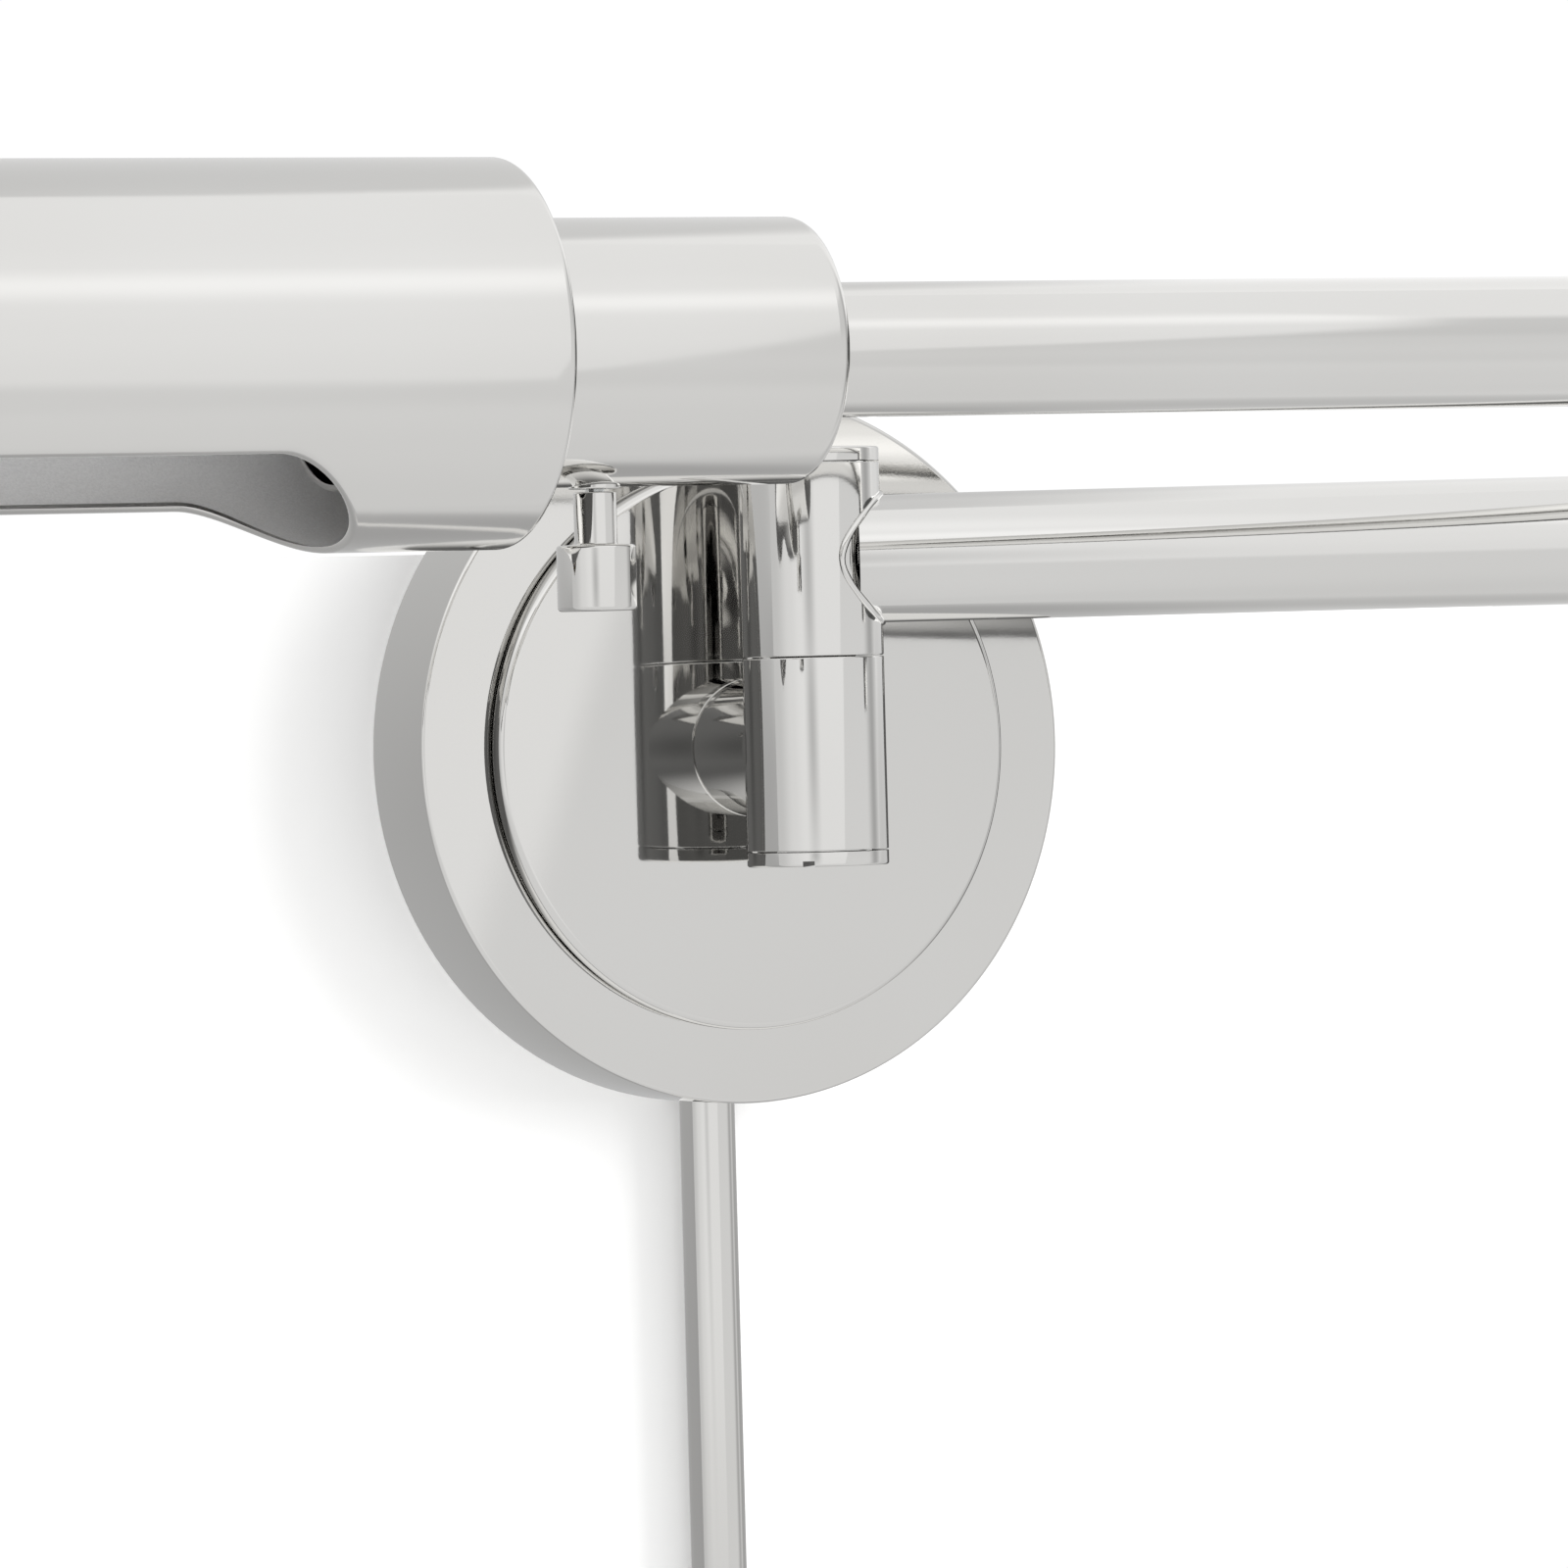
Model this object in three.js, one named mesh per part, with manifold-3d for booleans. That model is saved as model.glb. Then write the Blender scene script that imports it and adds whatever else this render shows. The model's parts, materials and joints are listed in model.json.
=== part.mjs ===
// Swing arm wall sconce: a round canopy, a two-part swing arm on two knuckles, and a tubular
// pharmacy shade that turns about the arm that carries it.
// Millimetres, +Z up. The wall is the plane y = 0 and the sconce stands out along -Y. The origin
// is the middle of the canopy's wall side. The arms lie as they are when half folded.
import * as THREE from "three";
import { mergeVertices } from "three/addons/utils/BufferGeometryUtils.js";
import Module from "manifold-3d";

// Clearance between neighbouring solids.
const GAP = 0.3;

// A rounded edge is drawn as two facets that meet this far in, as a share of its radius.
const EDGE_MIDDLE = 0.3;

// Canopy, the round plate against the wall, with a raised disc in its middle.
const CANOPY_RADIUS = 64;
const CANOPY_DEPTH = 20.5;
const CANOPY_WALL = 1.6;
const CANOPY_EDGE = 0.8;
const DISC_RADIUS = 50.7;
const DISC_THICKNESS = 3.9;
const DISC_EDGE = 1.6;

// Crossbar that the canopy is screwed to, set on the diagonal.
const BAR_ANGLE = 135;
const BAR_HALF_LENGTH = 58;
const BAR_WIDTH = 20;
const BAR_THICKNESS = 2;
const BAR_FLANGE_DEPTH = 14;
const BAR_SLOT_OFFSET = 33;
const BAR_SLOT_LENGTH = 16;
const BAR_SLOT_WIDTH = 5;
const SCREW_DEPTH = 9;
const SCREW_RADIUS = 1.7;
const SCREW_HEAD_RADIUS = 3.4;
const SCREW_HEAD_HEIGHT = 1.5;
const SCREW_HEAD_CROWN = 0.8;
const SCREW_REACH = 8;

// Threaded hollow tube used for the stub, both pivots and the lampholder.
const NIPPLE_RADIUS = 4.9;
const NIPPLE_BORE = 3.2;
const NUT_FLAT_RADIUS = 7;
const NUT_HEIGHT = 4;
const WASHER_RADIUS = 8;
const WASHER_THICKNESS = 1;
const NIPPLE_REAR = -9;
const NIPPLE_SEAT = 5.2;

// Wiring behind the canopy: one wire nut on each side of the nipple.
const WIRE_NUT_OFFSET = 22;
const WIRE_NUT_DEPTH = 10.5;
const LEAD_RADIUS = 1;

// Knuckles: each is two stacked barrels of one pitch in height, closed by a cap at each end.
const KNUCKLE_RADIUS = 12.6;
const KNUCKLE_BORE = 10.4;
const KNUCKLE_STANDOFF = 48.2;
const PITCH = 34.2;
const SEAM_HALF_GAP = 0.15;
const DECK_THICKNESS = 3.45;
const BEARING_RECESS = 1.2;
const BEARING_RADIUS = 7.6;
const CAP_THICKNESS = 2.4;
const CAP_PLUG = 4.5;
const COIN_SLOT_WIDTH = 2.1;
const COIN_SLOT_DEPTH = 1;
const COIN_SLOT_ANGLE = 55;
const PIVOT_BELOW_SEAM = 11;
const PIVOT_ABOVE_SEAM = 10.5;

// The lower wall barrel hangs a little lower than the stub that carries it.
const STUB_ABOVE_BARREL = 1.2;
const STUB_RADIUS = 12.5;
const CABLE_HOLE = 3.6;

// Arms, as they lie at rest. Each angle is in plan, from the arm's own pivot, about +Z.
const ARM_RADIUS = 11.35;
const ARM_WALL = 1.2;
const ARM_END_CLEARANCE = 0.1;
const INNER_ARM_LENGTH = 208;
const INNER_ARM_ANGLE = -26.5;
const OUTER_ARM_ANGLE = 178;
const CABLE_RADIUS = 1.6;
const CABLE_STEPS = 26;
const LEAD_STEPS = 14;

// Socket housing and what it holds, as distances along the outer arm from the elbow pivot.
const HOUSING_RADIUS = 22.4;
const HOUSING_WALL = 1.2;
const HOUSING_EDGE = 1.5;
const HOUSING_START = 231.5;
const HOUSING_END = 316.5;
const LAMPHOLDER_START = 279;
const LAMPHOLDER_CUP = 284;
const LAMPHOLDER_END = 315;
const LAMPHOLDER_RADIUS = 18.6;
const LAMPHOLDER_NECK_RADIUS = 9;
const LAMPHOLDER_CORNER = 2;
const LAMPHOLDER_FLOOR = 4;
const SHELL_RADIUS = 14.2;
const SHELL_WALL = 0.5;
const BULB_RADIUS = 15.1;
const BULB_CAP_RADIUS = 13;
const BULB_CAP_START = 290.4;
const BULB_END = 430;
const BULB_WALL = 1;
const BULB_NECK_RADIUS = 12.4;
const BULB_NECK_LENGTH = 3;
const BULB_SHOULDER_LENGTH = 13;
const BULB_TIP_RADIUS = 3;
const BULB_INSULATOR_LENGTH = 4;
const PLUG_LENGTH = 12;
const HOUSING_NIPPLE_REACH = 9;

// Rotary switch under the housing.
const SWITCH_ALONG = 269.5;
const SWITCH_SHAFT_RADIUS = 1.6;
const SWITCH_BUSHING_RADIUS = 3.2;
const SWITCH_FLOOR = -18.4;
const SWITCH_BODY_LENGTH = 17;
const SWITCH_BODY_WIDTH = 16;
const SWITCH_BODY_HEIGHT = 13;
const KNOB_TOP = -(HOUSING_RADIUS + 0.8);
const KNOB_EDGE = 0.4;
const KNOB_NECK_RADIUS = 3.6;
const KNOB_RADIUS = 6.65;
const KNOB_NECK_LENGTH = 8.8;
const KNOB_LENGTH = 11;

// Shade: a tube round the housing's end, with a long opening cut in its underside.
const SHADE_RADIUS = 32.5;
const SHADE_WALL = 1;
const SHADE_START = 286;
const SHADE_LENGTH = 230;
const SHADE_TILT = 10;
const OPENING_MARGIN = 31.5;
const OPENING_HALF_WIDTH = 25.6;
const OPENING_NOSE = 19.5;
const COLLAR_LENGTH = 8;
const COLLAR_WALL = 3;
const FRICTION_WALL = 1.6;
const END_THICKNESS = 1.2;

// Cord cover below the canopy, one section along the wall, held to it by a strap.
const COVER_RADIUS = 5;
const COVER_WALL = 0.7;
const COVER_LENGTH = 305;
const COVER_TOP = -58;
const COVER_SIDE = -1.8;
const COVER_STANDOFF = 5.3;
const CLIP_HEIGHT = -338;
const BUSHING_BORE = 3.1;
const BUSHING_RIM = 1.8;
const BUSHING_PLUG = 6;

// Facets round a full turn.
const WIDE = 56;
const ROUND = 40;
const MIDDLE = 24;
const SMALL = 12;
const WIRE = 8;

const DEGREE = Math.PI / 180;
const INNER_ARM_HEIGHT = PITCH - STUB_ABOVE_BARREL;
const DISC_FACE = -(CANOPY_DEPTH + GAP + DISC_THICKNESS);

const wasm = await Module();
wasm.setup();

// Materials.
const finish = (color, roughness, metalness) =>
  new THREE.MeshStandardMaterial({ color, roughness, metalness });
const nickel = finish(0xd8d5cf, 0.07, 1);
const steel = finish(0xa9abab, 0.35, 1);
const brass = finish(0xc9a253, 0.3, 1);
const phenolic = finish(0x17171a, 0.45, 0);
const opal = finish(0xf4f1ea, 0.25, 0);
const nylon = finish(0xe6e2d6, 0.5, 0);
const rubber = finish(0x2a2a2c, 0.8, 0);
const jacket = finish(0x3b3b3d, 0.6, 0);
const whiteWire = finish(0xe9e7e1, 0.5, 0);
const wireNutPlastic = finish(0xd98a2b, 0.5, 0);

// Boolean helpers: a closed geometry becomes a solid, and a solid a geometry again.
function toSolid(geometry) {
  const bare = geometry.clone();
  bare.deleteAttribute("normal");
  bare.deleteAttribute("uv");
  const merged = mergeVertices(bare);
  return new wasm.Manifold(
    new wasm.Mesh({
      numProp: 3,
      vertProperties: merged.attributes.position.array,
      triVerts: new Uint32Array(merged.index.array),
    }),
  );
}

function toGeometry(solid) {
  const { vertProperties, triVerts } = solid.getMesh();
  const geometry = new THREE.BufferGeometry();
  geometry.setAttribute("position", new THREE.BufferAttribute(vertProperties, 3));
  geometry.setIndex(new THREE.BufferAttribute(triVerts, 1));
  geometry.computeVertexNormals();
  return geometry;
}

function cut(body, ...tools) {
  return toGeometry(tools.reduce((solid, tool) => solid.subtract(toSolid(tool)), toSolid(body)));
}

function join(body, ...others) {
  return toGeometry(others.reduce((solid, other) => solid.add(toSolid(other)), toSolid(body)));
}

// A solid turned about one axis from a closed profile of [radius, distance along the axis].
function turned(axis, profile, segments = MIDDLE) {
  const points = profile.map(([radius, along]) => new THREE.Vector2(radius, along));
  if (THREE.ShapeUtils.area(points) < 0) points.reverse();
  const offAxis = points.findIndex((point) => point.x === 0) < 0;
  if (offAxis) points.push(points[0].clone());
  while (!offAxis && !(points[0].x === 0 && points.at(-1).x === 0)) points.push(points.shift());
  const geometry = new THREE.LatheGeometry(points, segments);
  if (axis === "x") geometry.rotateZ(-Math.PI / 2);
  if (axis === "z") geometry.rotateX(Math.PI / 2);
  return geometry;
}

function ring(axis, outer, inner, start, end, segments) {
  const profile = [[outer, start], [outer, end], [inner, end], [inner, start]];
  return turned(axis, profile, segments);
}

function rod(axis, radius, start, end, segments) {
  const profile = [[0, start], [radius, start], [radius, end], [0, end]];
  return turned(axis, profile, segments);
}

function block(sizeX, sizeY, sizeZ, x = 0, y = 0, z = 0) {
  return new THREE.BoxGeometry(sizeX, sizeY, sizeZ).translate(x, y, z);
}

// A round cable along a curve through the given points.
function cable(points, radius, steps) {
  const path = new THREE.CatmullRomCurve3(points.map((point) => new THREE.Vector3(...point)));
  const section = new THREE.Shape().absarc(0, 0, radius, 0, 2 * Math.PI);
  const options = { extrudePath: path, steps, curveSegments: WIRE / 2, bevelEnabled: false };
  return new THREE.ExtrudeGeometry(section, options);
}

// A hexagon nut with a plain hole, standing on z = 0.
function hexNut(flatRadius, height, hole) {
  const corners = Array.from({ length: 6 }, (_, i) => {
    const angle = i * 60 * DEGREE;
    const radius = flatRadius / Math.cos(30 * DEGREE);
    return new THREE.Vector2(radius * Math.cos(angle), radius * Math.sin(angle));
  });
  const shape = new THREE.Shape(corners);
  shape.holes.push(new THREE.Path().absarc(0, 0, hole, 0, 2 * Math.PI, true));
  const options = { depth: height, curveSegments: SMALL / 2, bevelEnabled: false };
  return new THREE.ExtrudeGeometry(shape, options);
}

function add(group, name, geometry, material) {
  const mesh = new THREE.Mesh(geometry, material);
  mesh.name = name;
  group.add(mesh);
  return mesh;
}

// Canopy shell, open to the wall, with holes for the nipple, the two screws and the cord cover.
function canopyShell() {
  const front = -CANOPY_DEPTH;
  const innerRadius = CANOPY_RADIUS - CANOPY_WALL;
  const profile = [
    [NIPPLE_RADIUS + GAP, front],
    [CANOPY_RADIUS - CANOPY_EDGE, front],
    [CANOPY_RADIUS - CANOPY_EDGE * EDGE_MIDDLE, front + CANOPY_EDGE * EDGE_MIDDLE],
    [CANOPY_RADIUS, front + CANOPY_EDGE],
    [CANOPY_RADIUS, 0],
    [innerRadius, 0],
    [innerRadius, front + CANOPY_WALL],
    [NIPPLE_RADIUS + GAP, front + CANOPY_WALL],
  ];
  const screwHoles = rod("x", SCREW_RADIUS + GAP, -CANOPY_RADIUS - 1, CANOPY_RADIUS + 1, SMALL)
    .translate(0, -SCREW_DEPTH, 0)
    .rotateY(-BAR_ANGLE * DEGREE);
  const notchHeight = COVER_TOP + CANOPY_RADIUS + 1;
  const coverNotch = coverWay(notchHeight, COVER_RADIUS + GAP)
    .translate(COVER_SIDE, 0, COVER_TOP - notchHeight / 2);
  return cut(turned("y", profile, WIDE), screwHoles, coverNotch);
}

function centreDisc() {
  const back = -CANOPY_DEPTH - GAP;
  const profile = [
    [NIPPLE_RADIUS + GAP, back],
    [DISC_RADIUS, back],
    [DISC_RADIUS, DISC_FACE + DISC_EDGE],
    [DISC_RADIUS - DISC_EDGE * EDGE_MIDDLE, DISC_FACE + DISC_EDGE * EDGE_MIDDLE],
    [DISC_RADIUS - DISC_EDGE, DISC_FACE],
    [NIPPLE_RADIUS + GAP, DISC_FACE],
  ];
  return turned("y", profile, WIDE);
}

// Flat steel bar with both ends bent forward to take the canopy's screws.
function crossbar() {
  const inside = BAR_HALF_LENGTH - BAR_THICKNESS;
  const outline = new THREE.Shape([
    new THREE.Vector2(-BAR_HALF_LENGTH, 0),
    new THREE.Vector2(BAR_HALF_LENGTH, 0),
    new THREE.Vector2(BAR_HALF_LENGTH, -BAR_FLANGE_DEPTH),
    new THREE.Vector2(inside, -BAR_FLANGE_DEPTH),
    new THREE.Vector2(inside, -BAR_THICKNESS),
    new THREE.Vector2(-inside, -BAR_THICKNESS),
    new THREE.Vector2(-inside, -BAR_FLANGE_DEPTH),
    new THREE.Vector2(-BAR_HALF_LENGTH, -BAR_FLANGE_DEPTH),
  ]);
  const bar = new THREE.ExtrudeGeometry(outline, { depth: BAR_WIDTH, bevelEnabled: false });
  bar.translate(0, 0, -BAR_WIDTH / 2);
  const screwHoles = rod("x", SCREW_RADIUS + GAP, -CANOPY_RADIUS, CANOPY_RADIUS, SMALL)
    .translate(0, -SCREW_DEPTH, 0);
  const slots = [-BAR_SLOT_OFFSET, BAR_SLOT_OFFSET].map((x) => {
    const straight = BAR_SLOT_LENGTH - BAR_SLOT_WIDTH;
    const ends = [-1, 1].map((side) =>
      rod("y", BAR_SLOT_WIDTH / 2, -2 * BAR_THICKNESS, BAR_THICKNESS, SMALL)
        .translate(x + (side * straight) / 2, 0, 0),
    );
    return join(block(straight, 4 * BAR_THICKNESS, BAR_SLOT_WIDTH, x), ...ends);
  });
  return cut(bar, screwHoles, ...slots).rotateY(-BAR_ANGLE * DEGREE);
}

// Pan-head screw, radial, at one end of the crossbar.
function canopyScrew(angle) {
  const headStart = CANOPY_RADIUS + GAP;
  const tip = BAR_HALF_LENGTH - SCREW_REACH;
  const profile = [
    [0, tip],
    [SCREW_RADIUS, tip],
    [SCREW_RADIUS, headStart],
    [SCREW_HEAD_RADIUS, headStart],
    [SCREW_HEAD_RADIUS * SCREW_HEAD_CROWN, headStart + SCREW_HEAD_HEIGHT],
    [0, headStart + SCREW_HEAD_HEIGHT],
  ];
  return turned("x", profile, SMALL).translate(0, -SCREW_DEPTH, 0).rotateY(-angle * DEGREE);
}

// Stub from the disc to the lower wall barrel, hollowed to that barrel's round side.
function wallStub() {
  const base = DISC_FACE - GAP;
  const socketEnd = base - NIPPLE_SEAT;
  const profile = [
    [NIPPLE_RADIUS + GAP, base],
    [STUB_RADIUS, base],
    [STUB_RADIUS, -KNUCKLE_STANDOFF],
    [CABLE_HOLE, -KNUCKLE_STANDOFF],
    [CABLE_HOLE, socketEnd],
    [NIPPLE_RADIUS + GAP, socketEnd],
  ];
  const saddle = rod("z", KNUCKLE_RADIUS + GAP, -PITCH, PITCH, ROUND)
    .translate(0, -KNUCKLE_STANDOFF, 0);
  return cut(turned("y", profile, MIDDLE), saddle);
}

// One barrel of a knuckle about its own middle. Its deck is on the seam side, up or down.
function barrel(deckUp) {
  const side = deckUp ? 1 : -1;
  const seam = PITCH / 2 - SEAM_HALF_GAP;
  const mouth = -PITCH / 2;
  const deckInside = seam - DECK_THICKNESS;
  const profile = [
    [KNUCKLE_RADIUS, mouth],
    [KNUCKLE_RADIUS, seam],
    [BEARING_RADIUS + GAP, seam],
    [BEARING_RADIUS + GAP, seam - BEARING_RECESS],
    [NIPPLE_RADIUS + GAP, seam - BEARING_RECESS],
    [NIPPLE_RADIUS + GAP, deckInside],
    [KNUCKLE_BORE, deckInside],
    [KNUCKLE_BORE, mouth],
  ];
  return turned("z", profile.map(([radius, z]) => [radius, side * z]), MIDDLE);
}

// Cap that closes a barrel's mouth, with a plug inside it; the lower ones have a coin slot.
function barrelCap(atTop) {
  const side = atTop ? 1 : -1;
  const seat = PITCH / 2 + GAP;
  const profile = [
    [0, seat - GAP - CAP_PLUG],
    [KNUCKLE_BORE - GAP, seat - GAP - CAP_PLUG],
    [KNUCKLE_BORE - GAP, seat],
    [KNUCKLE_RADIUS, seat],
    [KNUCKLE_RADIUS, seat + CAP_THICKNESS],
    [0, seat + CAP_THICKNESS],
  ];
  const cap = turned("z", profile.map(([radius, z]) => [radius, side * z]), MIDDLE);
  if (atTop) return cap;
  const floor = -(seat + CAP_THICKNESS);
  const slot = block(4 * KNUCKLE_RADIUS, COIN_SLOT_WIDTH, 2 * COIN_SLOT_DEPTH, 0, 0, floor)
    .rotateZ(COIN_SLOT_ANGLE * DEGREE);
  return cut(cap, slot);
}

// Hollow pivot and what is threaded on it, about the seam between the two barrels.
function addPivot(group, prefix, x, y, seam) {
  const deckTop = SEAM_HALF_GAP + DECK_THICKNESS;
  const springStart = deckTop + GAP;
  const springEnd = springStart + WASHER_THICKNESS;
  const hole = NIPPLE_RADIUS + GAP;
  const recess = SEAM_HALF_GAP + BEARING_RECESS - GAP;
  const pieces = [
    ["tube", ring("z", NIPPLE_RADIUS, NIPPLE_BORE, -PIVOT_BELOW_SEAM, PIVOT_ABOVE_SEAM, SMALL)],
    ["lower_nut", hexNut(NUT_FLAT_RADIUS, NUT_HEIGHT, hole), -deckTop - GAP - NUT_HEIGHT],
    ["bearing_washer", ring("z", BEARING_RADIUS, hole, -recess, recess, SMALL)],
    ["spring_washer", ring("z", WASHER_RADIUS, hole, springStart, springEnd, SMALL)],
    ["upper_nut", hexNut(NUT_FLAT_RADIUS, NUT_HEIGHT, hole), springEnd + GAP],
  ];
  for (const [name, geometry, lift = 0] of pieces) {
    const material = name === "bearing_washer" ? nylon : steel;
    add(group, `${prefix}_pivot_${name}`, geometry, material).position.set(x, y, seam + lift);
  }
}

// Arm tube along +X between two pivots; each end stops inside the barrel that holds it.
function armTube(start, end, endsInBarrel) {
  const tube = ring("x", ARM_RADIUS, ARM_RADIUS - ARM_WALL, start, end, MIDDLE);
  const bores = endsInBarrel.map((x) =>
    rod("z", KNUCKLE_BORE + ARM_END_CLEARANCE, -PITCH, PITCH, MIDDLE).translate(x, 0, 0),
  );
  return cut(tube, ...bores);
}

const armHole = (towards) =>
  rod("x", ARM_RADIUS + GAP, 0, towards * 2 * KNUCKLE_RADIUS, MIDDLE);

// Socket housing: a cup whose mouth faces along the shade.
function socketHousing() {
  const innerRadius = HOUSING_RADIUS - HOUSING_WALL;
  const rim = HOUSING_START + HOUSING_EDGE;
  const middle = HOUSING_EDGE * EDGE_MIDDLE;
  const profile = [
    [NIPPLE_RADIUS + GAP, HOUSING_START],
    [HOUSING_RADIUS - HOUSING_EDGE, HOUSING_START],
    [HOUSING_RADIUS - middle, HOUSING_START + middle],
    [HOUSING_RADIUS, rim],
    [HOUSING_RADIUS, HOUSING_END],
    [innerRadius, HOUSING_END],
    [innerRadius, rim],
    [NIPPLE_RADIUS + GAP, rim],
  ];
  const holeRadius = SWITCH_BUSHING_RADIUS + GAP;
  const switchHole = rod("z", holeRadius, 2 * -HOUSING_RADIUS, -HOUSING_RADIUS / 2, SMALL)
    .translate(SWITCH_ALONG, 0, 0);
  return cut(turned("x", profile, ROUND), switchHole);
}

function lampholderBody() {
  const cupRadius = SHELL_RADIUS + GAP;
  const cupFloor = LAMPHOLDER_CUP + LAMPHOLDER_FLOOR;
  const socketFloor = LAMPHOLDER_CUP + 2 * GAP;
  const wireHole = CABLE_RADIUS + GAP;
  return turned("x", [
    [NIPPLE_RADIUS + GAP, LAMPHOLDER_START],
    [LAMPHOLDER_NECK_RADIUS, LAMPHOLDER_START],
    [LAMPHOLDER_NECK_RADIUS, LAMPHOLDER_CUP],
    [LAMPHOLDER_RADIUS - LAMPHOLDER_CORNER, LAMPHOLDER_CUP],
    [LAMPHOLDER_RADIUS, LAMPHOLDER_CUP + LAMPHOLDER_CORNER],
    [LAMPHOLDER_RADIUS, LAMPHOLDER_END],
    [cupRadius, LAMPHOLDER_END],
    [cupRadius, cupFloor],
    [wireHole, cupFloor],
    [wireHole, socketFloor],
    [NIPPLE_RADIUS + GAP, socketFloor],
  ], MIDDLE);
}

// Medium screw cap of the bulb: tip contact, insulator cone and shell.
function bulbCap() {
  const insulatorEnd = BULB_CAP_START + BULB_INSULATOR_LENGTH;
  return turned("x", [
    [0, BULB_CAP_START],
    [BULB_TIP_RADIUS, BULB_CAP_START],
    [BULB_TIP_RADIUS + 1, BULB_CAP_START + 1],
    [BULB_CAP_RADIUS - 1, insulatorEnd],
    [BULB_CAP_RADIUS, insulatorEnd + 1],
    [BULB_CAP_RADIUS, HOUSING_END - 1],
    [0, HOUSING_END - 1],
  ], MIDDLE);
}

// Tubular bulb with a round far end, a hollow glass open at its neck.
function bulbGlass() {
  const neckStart = HOUSING_END - 1 + GAP;
  const neckEnd = neckStart + BULB_NECK_LENGTH;
  const shoulderEnd = neckEnd + BULB_SHOULDER_LENGTH;
  const domeCentre = BULB_END - BULB_RADIUS;
  const domeSteps = 5;
  const surface = (inset) => [
    [BULB_NECK_RADIUS - inset, neckStart],
    [BULB_NECK_RADIUS - inset, neckEnd],
    [BULB_RADIUS - inset, shoulderEnd],
    ...Array.from({ length: domeSteps }, (_, i) => {
      const angle = (i * 90 * DEGREE) / domeSteps;
      const radius = BULB_RADIUS - inset;
      return [radius * Math.cos(angle), domeCentre + radius * Math.sin(angle)];
    }),
    [0, BULB_END - inset],
  ];
  return turned("x", [...surface(0), ...surface(BULB_WALL).reverse()], MIDDLE);
}

// Knob turned about the switch shaft, hanging below the housing.
function switchKnob() {
  const shoulder = KNOB_TOP - KNOB_NECK_LENGTH;
  const bottom = shoulder - KNOB_LENGTH;
  const bore = SWITCH_SHAFT_RADIUS + GAP;
  const boreEnd = shoulder - 1;
  return turned("z", [
    [bore, KNOB_TOP],
    [KNOB_NECK_RADIUS, KNOB_TOP],
    [KNOB_NECK_RADIUS, shoulder],
    [KNOB_RADIUS, shoulder],
    [KNOB_RADIUS, bottom + KNOB_EDGE],
    [KNOB_RADIUS - KNOB_EDGE, bottom],
    [0, bottom],
    [0, boreEnd],
    [bore, boreEnd],
  ], MIDDLE);
}

// Shade tube with the opening: straight sides and half-elliptic ends, cut from below.
function shadeShell() {
  const openingStart = SHADE_START + OPENING_MARGIN;
  const openingEnd = SHADE_START + SHADE_LENGTH - OPENING_MARGIN;
  const outline = new THREE.Shape();
  const quarter = 90 * DEGREE;
  const noseStart = openingStart + OPENING_NOSE;
  const noseEnd = openingEnd - OPENING_NOSE;
  outline.absellipse(noseStart, 0, OPENING_NOSE, OPENING_HALF_WIDTH, quarter, 3 * quarter);
  outline.absellipse(noseEnd, 0, OPENING_NOSE, OPENING_HALF_WIDTH, -quarter, quarter);
  const depth = SHADE_RADIUS;
  const options = { depth, curveSegments: WIDE / 4, bevelEnabled: false };
  const opening = new THREE.ExtrudeGeometry(outline, options)
    .translate(0, 0, -depth - 2 * SHADE_WALL);
  const shadeEnd = SHADE_START + SHADE_LENGTH;
  const shell = ring("x", SHADE_RADIUS, SHADE_RADIUS - SHADE_WALL, SHADE_START, shadeEnd, ROUND);
  return cut(shell, opening);
}

// U-shaped solid round the cord cover's line, from the front of its round to past the wall plane.
function coverWay(height, radius) {
  const past = 2;
  const depth = COVER_STANDOFF + past;
  const round = rod("z", radius, -height / 2, height / 2, MIDDLE)
    .translate(0, -COVER_STANDOFF, 0);
  return join(round, block(2 * radius, depth, height, 0, past - depth / 2, 0));
}

// Pipe strap: a band over the cord cover with an ear on each side, screwed to the wall.
function coverStrap() {
  const thickness = 1.5;
  const height = 8;
  const earReach = 17;
  const screwHoleRadius = 1.9;
  const screwHoleOffset = 12;
  const behindWall = 2 * thickness;
  const ears = block(2 * earReach, thickness, height, 0, -thickness / 2, 0);
  const band = coverWay(height, COVER_RADIUS + GAP + thickness);
  const wall = block(3 * earReach, behindWall, 2 * height, 0, behindWall / 2, 0);
  const way = coverWay(2 * height, COVER_RADIUS + GAP);
  const screwHoles = [-screwHoleOffset, screwHoleOffset].map((x) =>
    rod("y", screwHoleRadius, -behindWall, behindWall, SMALL).translate(x, 0, 0),
  );
  return cut(join(ears, band), wall, way, ...screwHoles);
}

const sconce = new THREE.Group();

// Parts that stay on the wall.
add(sconce, "crossbar", crossbar(), steel);
add(sconce, "canopy", canopyShell(), nickel);
add(sconce, "centre_disc", centreDisc(), nickel);
add(sconce, "canopy_screw_upper", canopyScrew(BAR_ANGLE), nickel);
add(sconce, "canopy_screw_lower", canopyScrew(BAR_ANGLE + 180), nickel);

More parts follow.
